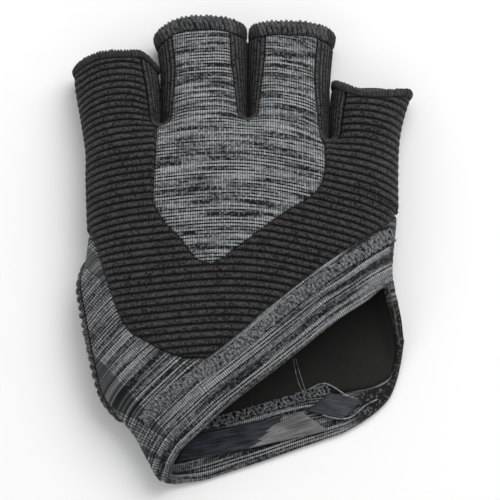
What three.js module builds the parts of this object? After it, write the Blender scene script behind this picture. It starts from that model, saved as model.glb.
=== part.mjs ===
// Lifting palm guard: a fingerless knitted half glove, lying palm down, seen from the back of the hand.
// Millimetres, Z up. X runs towards the little finger, Y towards the finger rims.
import * as THREE from "three";

// Named sizes.
const palm_width = 91;
const palm_length = 106;
const finger_length = 32.5;
const hand_height = 25.8;
const knit_wall = 1.7;
const band_wall = 2.2;
const palm_wall = 2.6;
const hem_wall = 2.4;
const hem_swell = 0.4;
const seam_gap = 0.36;
const hem_gap = 0.62;
const rib_pitch = 2.12;
const rib_depth = 0.7;
const thumb_hole_length = 43;
const thumb_hole_back_depth = 6.5;
const thumb_hole_palm_depth = 12;
const thumb_hem_width = 2.6;
const gusset_root_width = 2.5;
const gusset_rim_width = 4.2;
const long_hem_height = 4.5;
const short_hem_height = 2.2;
const label_length = 40;
const label_width = 9;
const label_wall = 0.7;
const label_gap = 0.4;

const half_width = palm_width / 2;
const crown_fall = 0.13;
const side_seam_depth = 4.4;
const slit_gap = 0.32;
const slit_power = 2.4;

// The hand form by stations: "at" counts palm lengths from the wrist, then finger lengths above 1.
// left, right and round are shares of the half width. top and side are shares of the hand height.
const form_rows = [
  { at: -0.057, left: -0.176, right: 1.092, top: 0.484, side: 0.291, round: 0.198 },
  { at: -0.017, left: -0.387, right: 1.092, top: 0.523, side: 0.302, round: 0.209 },
  { at: -0.006, left: -0.475, right: 1.092, top: 0.543, side: 0.310, round: 0.220 },
  { at: 0.015, left: -0.538, right: 1.092, top: 0.581, side: 0.318, round: 0.220 },
  { at: 0.045, left: -0.582, right: 1.092, top: 0.628, side: 0.329, round: 0.231 },
  { at: 0.090, left: -0.629, right: 1.092, top: 0.698, side: 0.349, round: 0.242 },
  { at: 0.135, left: -0.692, right: 1.092, top: 0.756, side: 0.360, round: 0.253 },
  { at: 0.179, left: -0.778, right: 1.092, top: 0.806, side: 0.372, round: 0.264 },
  { at: 0.226, left: -0.870, right: 1.092, top: 0.853, side: 0.388, round: 0.275 },
  { at: 0.274, left: -0.921, right: 1.090, top: 0.891, side: 0.395, round: 0.286 },
  { at: 0.340, left: -0.965, right: 1.081, top: 0.930, side: 0.407, round: 0.297 },
  { at: 0.406, left: -0.998, right: 1.048, top: 0.961, side: 0.407, round: 0.308 },
  { at: 0.475, left: -1.024, right: 1.004, top: 0.981, side: 0.407, round: 0.308 },
  { at: 0.531, left: -1.042, right: 0.969, top: 0.988, side: 0.407, round: 0.308 },
  { at: 0.566, left: -1.033, right: 0.958, top: 0.992, side: 0.407, round: 0.308 },
  { at: 0.613, left: -1.004, right: 0.960, top: 0.996, side: 0.407, round: 0.308 },
  { at: 0.679, left: -0.987, right: 0.974, top: 1.000, side: 0.403, round: 0.308 },
  { at: 0.745, left: -0.993, right: 0.991, top: 1.000, side: 0.399, round: 0.297 },
  { at: 0.849, left: -1.002, right: 0.993, top: 0.984, side: 0.388, round: 0.275 },
  { at: 0.925, left: -1.004, right: 0.998, top: 0.961, side: 0.372, round: 0.253 },
  { at: 0.981, left: -1.022, right: 1.011, top: 0.930, side: 0.357, round: 0.231 },
  { at: 1.123, left: -1.044, right: 1.040, top: 0.884, side: 0.341, round: 0.220 },
  { at: 1.369, left: -1.075, right: 1.092, top: 0.814, side: 0.326, round: 0.215 },
  { at: 1.585, left: -1.088, right: 1.116, top: 0.748, side: 0.310, round: 0.215 },
  { at: 1.800, left: -1.095, right: 1.132, top: 0.690, side: 0.302, round: 0.215 },
  { at: 2.046, left: -1.099, right: 1.143, top: 0.632, side: 0.295, round: 0.215 },
  { at: 2.292, left: -1.099, right: 1.143, top: 0.581, side: 0.291, round: 0.215 },
];

// Slits between the fingers: root point, and the two facing edges at the far end.
const slit_rows = [
  { name: "index_middle", x: -0.523, at: 1.031, left: -0.630, right: -0.585 },
  { name: "middle_ring", x: 0.033, at: 1.080, left: 0.008, right: 0.056 },
  { name: "ring_little", x: 0.558, at: 0.964, left: 0.598, right: 0.692 },
];

// Finger mouths: heights of the rim over the back, at the left and right sides, and under the palm.
const rim_rows = [
  { name: "index", back: 1.665, left: 1.570, right: 1.590, palm: 1.570, hem: short_hem_height },
  { name: "middle", back: 2.004, left: 1.890, right: 1.975, palm: 1.900, hem: long_hem_height },
  { name: "ring", back: 1.950, left: 1.970, right: 1.910, palm: 1.900, hem: long_hem_height },
  { name: "little", back: 1.262, left: 1.440, right: 1.355, palm: 1.460, hem: short_hem_height },
];

// Outline of the back insert, widest at the fingers and rounded to a tip: edges as shares of the half width.
const insert_rows = [
  { at: 0.5750, left: -0.216, right: -0.196 },
  { at: 0.5810, left: -0.262, right: -0.160 },
  { at: 0.5900, left: -0.300, right: -0.125 },
  { at: 0.6170, left: -0.345, right: -0.046 },
  { at: 0.6470, left: -0.396, right: 0.048 },
  { at: 0.6900, left: -0.490, right: 0.175 },
  { at: 0.7300, left: -0.548, right: 0.303 },
  { at: 0.7530, left: -0.566, right: 0.398 },
  { at: 0.7760, left: -0.566, right: 0.462 },
  { at: 0.8050, left: -0.562, right: 0.505 },
  { at: 0.8540, left: -0.558, right: 0.526 },
  { at: 0.9200, left: -0.549, right: 0.526 },
  { at: 0.9450, left: -0.545, right: 0.505 },
];

// Stations around the wrist band. v is the seam to the ribbed panel, r the folded edge below it.
const band_rows = [
  { vx: 0.940, vat: 0.712, rx: 0.953, rat: 0.538 },
  { vx: 0.749, vat: 0.645, rx: 0.781, rat: 0.476 },
  { vx: 0.558, vat: 0.590, rx: 0.590, rat: 0.420 },
  { vx: 0.366, vat: 0.527, rx: 0.396, rat: 0.352 },
  { vx: 0.175, vat: 0.462, rx: 0.207, rat: 0.287 },
  { vx: 0.016, vat: 0.400, rx: 0.016, rat: 0.224 },
  { vx: -0.112, vat: 0.354, rx: -0.132, rat: 0.175 },
  { vx: -0.207, vat: 0.323, rx: -0.271, rat: 0.121 },
  { vx: -0.250, vat: 0.317, rx: -0.386, rat: 0.077 },
  { vx: -0.290, vat: 0.316, rx: -0.440, rat: 0.043 },
];
// The band beside the thumb hole: v seam points, and the height met on the side of the hand.
// Where the band folds round the heel, drop is the share of the seam drop; elsewhere it meets the hole.
const cuff_rows = [
  { vx: -0.325, vat: 0.317, side: 0.000, drop: 0 },
  { vx: -0.366, vat: 0.319, side: 0.066, drop: 0 },
  { vx: -0.410, vat: 0.325, side: 0.123, drop: 0.35 },
  { vx: -0.462, vat: 0.333, side: 0.168, drop: 0.96 },
  { vx: -0.530, vat: 0.346, side: 0.190, drop: null },
  { vx: -0.590, vat: 0.362, side: 0.235, drop: null },
  { vx: -0.704, vat: 0.391, side: 0.310, drop: null },
  { vx: -0.781, vat: 0.442, side: 0.390, drop: null },
  { vx: -0.832, vat: 0.506, side: 0.470, drop: null },
  { vx: -0.889, vat: 0.580, side: 0.545, drop: null },
  { vx: -0.940, vat: 0.646, side: 0.600, drop: null },
  { vx: -0.978, vat: 0.688, side: 0.626, drop: null },
];
const v_right_end = 0.752;
const v_right_side = 0.748;
const v_left_end = 0.694;
const rim_right_end = 0.395;
const rim_right_side = 0.481;
const thumb_hole_at = 0.405;
const strip_shares = [0, 0.2, 0.4, 0.58, 0.74, 0.865, 0.91, 0.955, 1];

// Palm side of the band: the rim under the hand and the seam to the palm panel.
const heel_rows = [
  { x: -0.705, rim_x: -0.470, rim: 0.000, seam: 0.166 },
  { x: -0.660, rim_x: -0.462, rim: 0.001, seam: 0.164 },
  { x: -0.540, rim_x: -0.440, rim: 0.002, seam: 0.160 },
  { x: -0.411, rim_x: -0.411, rim: 0.004, seam: 0.158 },
  { x: -0.245, rim_x: -0.245, rim: 0.024, seam: 0.174 },
  { x: -0.080, rim_x: -0.080, rim: 0.047, seam: 0.196 },
  { x: 0.073, rim_x: 0.073, rim: 0.069, seam: 0.214 },
  { x: 0.226, rim_x: 0.226, rim: 0.092, seam: 0.235 },
  { x: 0.373, rim_x: 0.373, rim: 0.115, seam: 0.251 },
  { x: 0.519, rim_x: 0.519, rim: 0.137, seam: 0.258 },
  { x: 0.660, rim_x: 0.660, rim: 0.160, seam: 0.265 },
  { x: 0.825, rim_x: 0.825, rim: 0.205, seam: 0.279 },
  { x: 0.934, rim_x: 0.934, rim: 0.251, seam: 0.302 },
  { x: 0.985, rim_x: 0.985, rim: 0.295, seam: 0.340 },
  { x: 1.015, rim_x: 1.015, rim: 0.345, seam: 0.388 },
];
const label_row = { x: 0.060, at: 0.150, slope: 0.29 };

// Looks of the parts, as plain colours.
const looks = {
  black_knit: { colour: 0x26272a, roughness: 0.92 },
  grey_knit: { colour: 0x65686a, roughness: 0.9 },
  grey_band: { colour: 0x5a5c5e, roughness: 0.9 },
  black_foam: { colour: 0x1c1d20, roughness: 0.85 },
  satin: { colour: 0x2b2e3a, roughness: 0.4 },
};

function y_of(at) {
  return at < 1 ? at * palm_length : palm_length + (at - 1) * finger_length;
}

function smooth_value(keys, values, key) {
  const last = keys.length - 1;
  const at = Math.min(Math.max(key, keys[0]), keys[last]);
  let i = 0;
  while (i < last - 1 && at > keys[i + 1]) {
    i += 1;
  }
  const slope = (k) => {
    const a = Math.max(k - 1, 0);
    const b = Math.min(k + 1, last);
    return (values[b] - values[a]) / (keys[b] - keys[a]);
  };
  const width = keys[i + 1] - keys[i];
  const t = (at - keys[i]) / width;
  const rise = t * t * (3 - 2 * t);
  const tangents = slope(i) * (t - t * t) * (1 - t) - slope(i + 1) * (t - t * t) * t;
  return values[i] + (values[i + 1] - values[i]) * rise + tangents * width;
}

const form_keys = form_rows.map((row) => y_of(row.at));
const form = {};
for (const name of ["left", "right", "round"]) {
  form[name] = form_rows.map((row) => row[name] * half_width);
}
for (const name of ["top", "side"]) {
  form[name] = form_rows.map((row) => row[name] * hand_height);
}

function form_at(name, y) {
  return smooth_value(form_keys, form[name], y);
}

// Edge lines of the form in plan: the two sides and the three slits.
function slit_edge(slit, y, side) {
  const far = palm_length + finger_length;
  const t = Math.max(0, (y - y_of(slit.at)) / (far - y_of(slit.at)));
  const start = slit.x * half_width + (side === "left" ? -slit_gap : slit_gap);
  return start + (slit[side] * half_width - start) * Math.min(t, 1.4) ** slit_power;
}

function slit_line(slit) {
  const points = [];
  const root = y_of(slit.at);
  const far = palm_length + finger_length * 1.3;
  const steps = 24;
  for (let i = 0; i <= steps; i += 1) {
    const y = far + (root - far) * (i / steps);
    points.push([slit_edge(slit, y, "left"), y]);
  }
  for (let i = 1; i < 8; i += 1) {
    const turn = Math.PI * (1 + i / 8);
    points.push([slit.x * half_width + slit_gap * Math.cos(turn), root + slit_gap * Math.sin(turn)]);
  }
  for (let i = steps; i >= 0; i -= 1) {
    const y = far + (root - far) * (i / steps);
    points.push([slit_edge(slit, y, "right"), y]);
  }
  return points;
}

function side_line(name) {
  const points = [];
  const first = form_keys[0];
  const last = form_keys[form_keys.length - 1];
  for (let i = 0; i <= 160; i += 1) {
    const y = first + (last - first) * (i / 160);
    points.push([form_at(name, y), y]);
  }
  return points;
}

// Every line runs with the cloth on its right hand.
const edge_lines = [side_line("left"), side_line("right").reverse(), ...slit_rows.map(slit_line)];

function nearest_edge(x, y) {
  const best = { distance: Infinity, in_x: 0, in_y: 0 };
  for (const line of edge_lines) {
    for (let i = 0; i + 1 < line.length; i += 1) {
      const [ax, ay] = line[i];
      const [bx, by] = line[i + 1];
      const length = (bx - ax) ** 2 + (by - ay) ** 2;
      const along = ((x - ax) * (bx - ax) + (y - ay) * (by - ay)) / length;
      const t = Math.min(1, Math.max(0, along));
      const fx = ax + (bx - ax) * t;
      const fy = ay + (by - ay) * t;
      const distance = Math.hypot(x - fx, y - fy);
      if (distance < best.distance) {
        const size = Math.sqrt(length);
        const straight = distance < 0.25;
        best.distance = distance;
        best.in_x = straight ? (by - ay) / size : (x - fx) / distance;
        best.in_y = straight ? (ax - bx) / size : (y - fy) / distance;
      }
    }
  }
  return best;
}

function crown(x, y) {
  return form_at("top", y) * (1 - crown_fall * (x / half_width) ** 2);
}

// A point of the cloth surface with its outward direction. side is 1 over the back, -1 under the palm.
function surface(x, y, side) {
  const edge = nearest_edge(x, y);
  const middle = form_at("side", y);
  const round = form_at("round", y) * (side > 0 ? 1 : 0.5);
  const reach = side > 0 ? crown(x, y) - middle : middle;
  const inset = 1 - Math.min(edge.distance / round, 1);
  const rise = Math.sqrt(Math.max(0, 1 - inset * inset));
  const z = middle + side * reach * rise;
  const step = 0.4;
  const slope_x = side > 0 ? (crown(x + step, y) - crown(x - step, y)) / (2 * step) : 0;
  const slope_y = side > 0 ? (crown(x, y + step) - crown(x, y - step)) / (2 * step) : 0;
  const normal = new THREE.Vector3(
    (-inset / round) * edge.in_x - (rise * slope_x) / reach,
    (-inset / round) * edge.in_y - (rise * slope_y) / reach,
    (side * rise) / reach,
  );
  return { point: new THREE.Vector3(x, y, z), normal: normal.normalize() };
}

// Developed distance from the widest line of the hand: positive over the back, negative under the palm.
function quarter_arc(y, side) {
  const round = form_at("round", y) * (side > 0 ? 1 : 0.5);
  const middle = form_at("side", y);
  const reach = side > 0 ? form_at("top", y) * 0.93 - middle : middle;
  return (Math.PI / 2) * Math.sqrt((round * round + reach * reach) / 2);
}

function inset_of(y, around) {
  const side = around < 0 ? -1 : 1;
  const round = form_at("round", y) * (side > 0 ? 1 : 0.5);
  const arc = quarter_arc(y, side);
  const q = Math.abs(around);
  if (q > arc) {
    return round + q - arc;
  }
  return Math.max(round * (1 - Math.cos((q / arc) * (Math.PI / 2))), 0.004);
}

function around_of(y, inset) {
  const round = form_at("round", y);
  const arc = quarter_arc(y, 1);
  if (inset > round) {
    return arc + inset - round;
  }
  return (Math.acos(1 - Math.max(inset, 0) / round) / (Math.PI / 2)) * arc;
}

function side_point(hand_side, y, around) {
  const inset = inset_of(y, around);
  const x = hand_side === "left" ? form_at("left", y) + inset : form_at("right", y) - inset;
  return surface(x, y, around < 0 ? -1 : 1);
}

// A closed sheet from grids of surface points. Points that coincide are shared.
function sheet(name, look, grids, wall, raise = () => 0) {
  const vertices = [];
  const keys = new Map();
  const index_of = (sample) => {
    const p = sample.point;
    const key = [p.x, p.y, p.z].map((value) => Math.round(value * 50)).join(",");
    if (!keys.has(key)) {
      keys.set(key, vertices.length);
      vertices.push(sample);
    }
    return keys.get(key);
  };
  const all_faces = [];
  for (const grid of grids) {
    const faces = [];
    const add_face = (a, b, c) => {
      if (a !== b && b !== c && c !== a) {
        faces.push([a, b, c]);
      }
    };
    const numbers = grid.map((row) => row.map(index_of));
    for (let i = 0; i + 1 < numbers.length; i += 1) {
      for (let j = 0; j + 1 < numbers[i].length; j += 1) {
        add_face(numbers[i][j], numbers[i][j + 1], numbers[i + 1][j + 1]);
        add_face(numbers[i][j], numbers[i + 1][j + 1], numbers[i + 1][j]);
      }
    }
    all_faces.push(...turned_outward(vertices, faces));
  }
  return closed_mesh(name, look, vertices, all_faces, wall, raise);
}

function turned_outward(vertices, faces) {
  let sum = 0;
  for (const [a, b, c] of faces) {
    const ab = vertices[b].point.clone().sub(vertices[a].point);
    const ac = vertices[c].point.clone().sub(vertices[a].point);
    sum += ab.cross(ac).dot(vertices[a].normal);
  }
  return sum > 0 ? faces : faces.map(([a, b, c]) => [a, c, b]);
}

function closed_mesh(name, look, vertices, faces, wall, raise) {
  const count = vertices.length;
  const points = new Float32Array(count * 6);
  vertices.forEach((sample, i) => {
    const outer = sample.point.clone().addScaledVector(sample.normal, raise(sample));
    const inner = sample.point.clone().addScaledVector(sample.normal, -wall);
    outer.toArray(points, i * 3);
    inner.toArray(points, (i + count) * 3);
  });
  const used = new Set();
  for (const [a, b, c] of faces) {
    used.add(`${a},${b}`).add(`${b},${c}`).add(`${c},${a}`);
  }
  const triangles = [];
  for (const [a, b, c] of faces) {
    triangles.push(a, b, c, a + count, c + count, b + count);
    for (const [p, q] of [[a, b], [b, c], [c, a]]) {
      if (!used.has(`${q},${p}`)) {
        triangles.push(q, p, p + count, q, p + count, q + count);
      }
    }
  }
  const geometry = new THREE.BufferGeometry();
  geometry.setAttribute("position", new THREE.BufferAttribute(points, 3));
  geometry.setIndex(triangles);
  geometry.computeVertexNormals();
  const { colour, roughness } = looks[look];
  const material = new THREE.MeshStandardMaterial({ color: colour, roughness, metalness: 0 });
  const mesh = new THREE.Mesh(geometry, material);
  mesh.name = name;
  return mesh;
}

// Small helpers for tables and searches.
function line_value(rows, key, value, at) {
  const last = rows.length - 1;
  const k = Math.min(Math.max(at, rows[0][key]), rows[last][key]);
  let i = 0;
  while (i < last - 1 && k > rows[i + 1][key]) {
    i += 1;
  }
  const t = (k - rows[i][key]) / (rows[i + 1][key] - rows[i][key]);
  return rows[i][value] + (rows[i + 1][value] - rows[i][value]) * t;
}

function mixed(a, b, t) {
  return a + (b - a) * t;
}

function crossing(start, end, inside) {
  const steps = 60;
  let from = start;
  let to = end;
  for (let i = 1; i <= steps; i += 1) {
    const x = mixed(start, end, i / steps);
    if (!inside(x)) {
      to = x;
      break;
    }
    from = x;
  }
  for (let i = 0; i < 24; i += 1) {
    const x = (from + to) / 2;
    if (inside(x)) {
      from = x;
    } else {
      to = x;
    }
  }
  return (from + to) / 2;
}

// Finger tubes.
function finger_edges(finger, y) {
  const left = finger === 0 ? form_at("left", y) : slit_edge(slit_rows[finger - 1], y, "right");
  const right = finger === 3 ? form_at("right", y) : slit_edge(slit_rows[finger], y, "left");
  return { left, right };
}

function rim_height(finger, turn, below) {
  const rim = rim_rows[finger];
  const edge = Math.cos(turn) > 0 ? rim.right : rim.left;
  const flat = Math.sin(turn) > 0 ? rim.back : rim.palm;
  return y_of(mixed(edge, flat, Math.sin(turn) ** 2)) - below;
}

function finger_point(finger, turn, below) {
  const y = rim_height(finger, turn, below);
  const { left, right } = finger_edges(finger, y);
  const inset = 0.004;
  const half = (right - left) / 2 - inset;
  return surface((left + right) / 2 + half * Math.cos(turn), y, Math.sin(turn) < 0 ? -1 : 1);
}

// Hems stand out a little, but lie flush with the palm underneath.
function swelling(sample) {
  return sample.swell * hem_swell * (1 + Math.min(0, sample.normal.z));
}

function finger_hem(finger) {
  const rim = rim_rows[finger];
  const columns = 22;
  const shares = [0, 0.5, 1];
  const grid = shares.map((share) => {
    const row = [];
    for (let i = 0; i <= columns; i += 1) {
      const turn = ((i % columns) + 0.5) * ((2 * Math.PI) / columns);
      row.push({ ...finger_point(finger, turn, share * rim.hem), swell: share === 0.5 ? 1 : 0.4 });
    }
    return row;
  });
  const look = finger === 1 || finger === 2 ? "grey_knit" : "black_knit";
  return sheet(`hem_${rim.name}`, look, [grid], hem_wall, swelling);
}

// The turn around a finger tube at a plan position, for the hem line of the panels.
function hem_line(finger, x, side) {
  let y = y_of(rim_rows[finger].back);
  for (let i = 0; i < 6; i += 1) {
    const { left, right } = finger_edges(finger, y);
    const share = ((x - (left + right) / 2) * 2) / (right - left);
    const turn = side * Math.acos(Math.min(1, Math.max(-1, share)));
    y = rim_height(finger, turn, rim_rows[finger].hem + hem_gap * (side > 0 ? 1 : 1.6));
  }
  return y;
}

// Gussets line both sides of a slit and its root.
function gusset_reach(slit, y) {
  const t = Math.min(1, Math.max(0, (y - y_of(slit.at)) / finger_length));
  return mixed(gusset_root_width, gusset_rim_width, Math.min(1, t * 2));
}

// The edge of a panel that runs round a slit at a given distance from it.
function slot_edge(slit, hand, y, reach, closed_x) {
  const out = hand === "left" ? -1 : 1;
  const root = y_of(slit.at);
  if (y >= root) {
    return slit_edge(slit, y, hand) + out * reach;
  }
  const depth = reach + slit_gap;
  if (y <= root - depth) {
    return closed_x;
  }
  return slit.x * half_width + out * Math.sqrt(depth ** 2 - (root - y) ** 2);
}

function gusset(index) {
  const slit = slit_rows[index];
  const root = y_of(slit.at);
  const reach_back = [1, 0.66, 0.36, 0.14, 0.03];
  const reach_palm = [0.1, 0.45, 1];
  const stations = [];
  const add_side = (finger, hand, order) => {
    const rows = [0, 0.25, 0.5, 0.75, 1];
    const sequence = order > 0 ? rows : [...rows].reverse();
    sequence.forEach((share) => stations.push({ finger, hand, share }));
  };
  add_side(index, "left", -1);
  for (const turn of [0.25, 0.5, 0.75]) {
    stations.push({ turn });
  }
  add_side(index + 1, "right", 1);
  const inset_at = (y, share, side) => {
    const whole = side > 0 ? gusset_reach(slit, y) : inset_of(y, -side_seam_depth + seam_gap / 2);
    return Math.max(whole * share, 0.004);
  };
  const at_side = (station, share, side) => {
    const out = station.hand === "left" ? -1 : 1;
    let end = root + finger_length * 0.7;
    for (let i = 0; i < 6; i += 1) {
      const x = slit_edge(slit, end, station.hand) + out * inset_at(end, share, side);
      end = hem_line(station.finger, x, side) - 0.12;
    }
    const y = mixed(root, end, station.share);
    return surface(slit_edge(slit, y, station.hand) + out * inset_at(y, share, side), y, side);
  };
  const at_root = (station, share, side) => {
    const turn = Math.PI * (1 + station.turn);
    const radius = slit_gap + inset_at(root, share, side);
    return surface(slit.x * half_width + radius * Math.cos(turn), root + radius * Math.sin(turn), side);
  };
  const grid = stations.map((station) => {
    const place = station.hand ? at_side : at_root;
    const over = reach_back.map((share) => place(station, share, 1));
    const under = reach_palm.map((share) => place(station, share, -1));
    return [...over, ...under];
  });
  return sheet(`gusset_${slit.name}`, "black_knit", [grid], knit_wall);
}

// Ribs of the back panel: lines of equal height that fall away towards the little finger.
const rib_fall = 0.27;
const rib_fall_finger = 0.08;
const rib_bend_x = -0.18 * half_width;
const rib_finger_x = 0.59 * half_width;

function rib_drop(x, y) {
  const low = rib_fall * Math.max(0, x - rib_bend_x);
  const beyond = Math.max(0, x - rib_finger_x);
  const high = rib_fall * Math.max(0, Math.min(x, rib_finger_x) - rib_bend_x) + rib_fall_finger * beyond;
  const t = Math.min(1, Math.max(0, (y_of(1.18) - y) / (y_of(1.18) - y_of(0.68))));
  return mixed(high, low, t * t * (3 - 2 * t));
}

function rib_y(level, x) {
  let y = level - rib_drop(x, level);
  for (let i = 0; i < 12; i += 1) {
    y = level - rib_drop(x, y);
  }
  return y;
}

// The seam between ribbed panel and wrist band, as a height over the plan.
const v_rows = [
  ...[...band_rows].map((row) => ({ x: row.vx * half_width, y: y_of(row.vat) })),
  ...cuff_rows.map((row) => ({ x: row.vx * half_width, y: y_of(row.vat) })),
].sort((a, b) => a.x - b.x);
v_rows.unshift({ x: form_at("left", y_of(v_left_end)), y: y_of(v_left_end) });
v_rows.push({ x: form_at("right", y_of(v_right_side)) - 0.1, y: y_of(v_right_side) });
v_rows.push({ x: form_at("right", y_of(v_right_end)), y: y_of(v_right_end) });

function v_y(x) {
  return line_value(v_rows, "x", "y", x);
}

// Half the seam gap, measured along Y, where the seam runs at a slant.
function v_gap(x) {
  const slope = (v_y(x + 1) - v_y(x - 1)) / 2;
  return (seam_gap / 2) * Math.sqrt(1 + Math.min(slope * slope, 9)) + 0.05;
}

function insert_edge(side, y) {
  const rows = insert_rows.map((row) => ({ y: y_of(row.at), x: row[side] * half_width }));
  const top = rows[rows.length - 1];
  if (y <= top.y) {
    return line_value(rows, "y", "x", y);
  }
  const slit = side === "left" ? slit_rows[0] : slit_rows[2];
  const hand = side === "left" ? "right" : "left";
  const beside = slot_edge(slit, hand, y, gusset_reach(slit, y) + seam_gap, top.x);
  return side === "left" ? Math.max(beside, top.x) : Math.min(beside, top.x);
}

// Inner edge of the ribbed panel beside a finger gusset, or beside the insert further down.
function panel_edge(side, y) {
  const slit = side === "left" ? slit_rows[0] : slit_rows[2];
  const out = side === "left" ? -1 : 1;
  const slope = (insert_edge(side, y + 0.5) - insert_edge(side, y - 0.5)) / 1;
  const gap = seam_gap * Math.sqrt(1 + Math.min(slope * slope, 16)) + 0.26;
  const beside = insert_edge(side, y) + out * gap;
  const around = slot_edge(slit, side, y, gusset_reach(slit, y) + seam_gap, beside);
  if (y >= y_of(slit.at)) {
    return around;
  }
  return side === "left" ? Math.min(around, beside) : Math.max(around, beside);
}

// Rows of the ribbed panel stop at the hole, the side seam, the wrist band and the insert.
function hole_edge(y, side, margin) {
  const half = thumb_hole_length / 2 + margin;
  const t = (y - y_of(thumb_hole_at)) / half;
  if (Math.abs(t) >= 1) {
    return null;
  }
  const depth = (side > 0 ? thumb_hole_back_depth : thumb_hole_palm_depth) + margin;
  return -side_seam_depth + side * depth * Math.sqrt(1 - t * t);
}

function back_panel() {
  const tip_x = ((insert_rows[0].left + insert_rows[0].right) / 2) * half_width;
  const tip_y = y_of(insert_rows[0].at) - seam_gap;
  const columns = 7;
  const make_row = (side, line) => {
    const out = side === "left" ? -1 : 1;
    const outer = side === "left" ? "left" : "right";
    const inside = (x) => {
      const y = line(x, 1);
      const beyond = side === "left" ? x - form_at("left", y) : form_at("right", y) - x;
      return beyond > 0 && y > v_y(x) + v_gap(x);
    };
    const far = side === "left" ? -half_width * 1.3 : half_width * 1.3;
    const open = (x) => {
      const y = line(x);
      return y < tip_y || (side === "left" ? x < panel_edge("left", y) : x > panel_edge("right", y));
    };
    const x_start = crossing(tip_x, far, inside);
    const y_start = line(x_start);
    const reaches_side = y_start > v_y(x_start) + v_gap(x_start) + 0.4;
    const x_inner = crossing(x_start - out * 0.5, tip_x, open);
    const inner = Math.abs(x_inner - tip_x) < 0.3 ? tip_x : x_inner;
    const row = [];
    for (let j = 0; j <= columns; j += 1) {
      const t = j / columns;
      if (!reaches_side) {
        const x = mixed(x_start, inner, t);
        row.push(surface(x, line(x), 1));
        continue;
      }
      const start = -side_seam_depth + seam_gap / 2;
      const end = around_of(line(inner), Math.abs(form_at(outer, line(inner)) - inner));
      const around = mixed(start, end, t);
      const face = around < 0 ? -1 : 1;
      let x = inner;
      let y = y_start;
      for (let i = 0; i < 8 && t < 1; i += 1) {
        x = form_at(outer, y) - out * inset_of(y, around);
        y = mixed(y, line(x, face), 0.7);
      }
      row.push(surface(x, line(x, face), face));
    }
    return row;
  };
  const grids = [];
  const top_level = y_of(1.7);
  const half_pitch = rib_pitch / 2;
  for (const [side, finger] of [["left", 0], ["right", 3]]) {
    const hem = (x, face = 1) => hem_line(finger, x, face);
    const first_row = make_row(side, hem);
    const lowest = Math.min(...first_row.map((s) => s.point.y + rib_drop(s.point.x, s.point.y)));
    const rows = [first_row.map((s) => ({ ...s, rib: 0 }))];
    for (let k = 0; k < 200; k += 1) {
      const level = top_level - k * half_pitch;
      if (level > lowest - half_pitch * 0.5) {
        continue;
      }
      if (level < v_y(tip_x) + half_pitch * 0.5) {
        break;
      }
      rows.push(make_row(side, (x) => rib_y(level, x)).map((s) => ({ ...s, rib: k % 2 === 0 ? 1 : -1 })));
    }
    const last = rows[rows.length - 1];
    const on_seam = (x) => surface(x, v_y(x) + v_gap(x), 1);
    rows.push(last.map((s) => ({ ...on_seam(s.point.x), rib: 0 })));
    grids.push(rows);
  }
  return sheet("back_panel", "black_knit", grids, knit_wall, (s) => (s.rib * rib_depth) / 2);
}

function back_insert() {
  const slit = slit_rows[1];
  const centre = slit.x * half_width;
  const root = y_of(slit.at);
  const depth = gusset_reach(slit, root) + slit_gap + seam_gap;
  const columns = 6;
  const low = y_of(insert_rows[0].at) + 0.2;
  const grids = [];
  for (const [side, finger] of [["left", 1], ["right", 2]]) {
    const inner_edge = (y) => slot_edge(slit, side, y, gusset_reach(slit, y) + seam_gap, centre);
    const outer_edge = (y) => insert_edge(side, y);
    const rows = [];
    const levels = [];
    insert_rows.forEach((row, i) => {
      levels.push(i === 0 ? low : y_of(row.at));
    });
    for (const other of slit_rows) {
      const reach = gusset_reach(other, y_of(other.at)) + slit_gap + seam_gap;
      [1, 0.7, 0].forEach((share) => levels.push(y_of(other.at) - share * reach));
    }
    levels.sort((a, b) => a - b);
    const tube = root + finger_length * 0.6;
    const top = Math.min(hem_line(finger, inner_edge(tube), 1), hem_line(finger, outer_edge(tube), 1));
    for (let i = 1; i <= 6; i += 1) {
      levels.push(mixed(root, top - 1, i / 6));
    }
    const row_at = (y, top_row) => {
      const a = outer_edge(y);
      const lower_centre = Math.min(Math.max(centre, insert_edge("left", y)), insert_edge("right", y));
      const b = y <= root - depth ? lower_centre : inner_edge(y);
      const row = [];
      for (let j = 0; j <= columns; j += 1) {
        const x = mixed(a, b, j / columns);
        row.push(surface(x, top_row ? hem_line(finger, x, 1) : y, 1));
      }
      return row;
    };
    for (const level of levels) {
      rows.push(row_at(level, false));
    }
    rows.push(row_at(top, true));
    grids.push(rows);
  }
  return sheet("back_insert", "grey_knit", grids, knit_wall);
}

// Wrist band: a broad strip over the back, folded round the heel of the hand, with the lower palm strip.
function developed(hand_side, x, y) {
  const edge = form_at(hand_side, y);
  return around_of(y, hand_side === "left" ? x - edge : edge - x);
}

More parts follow.
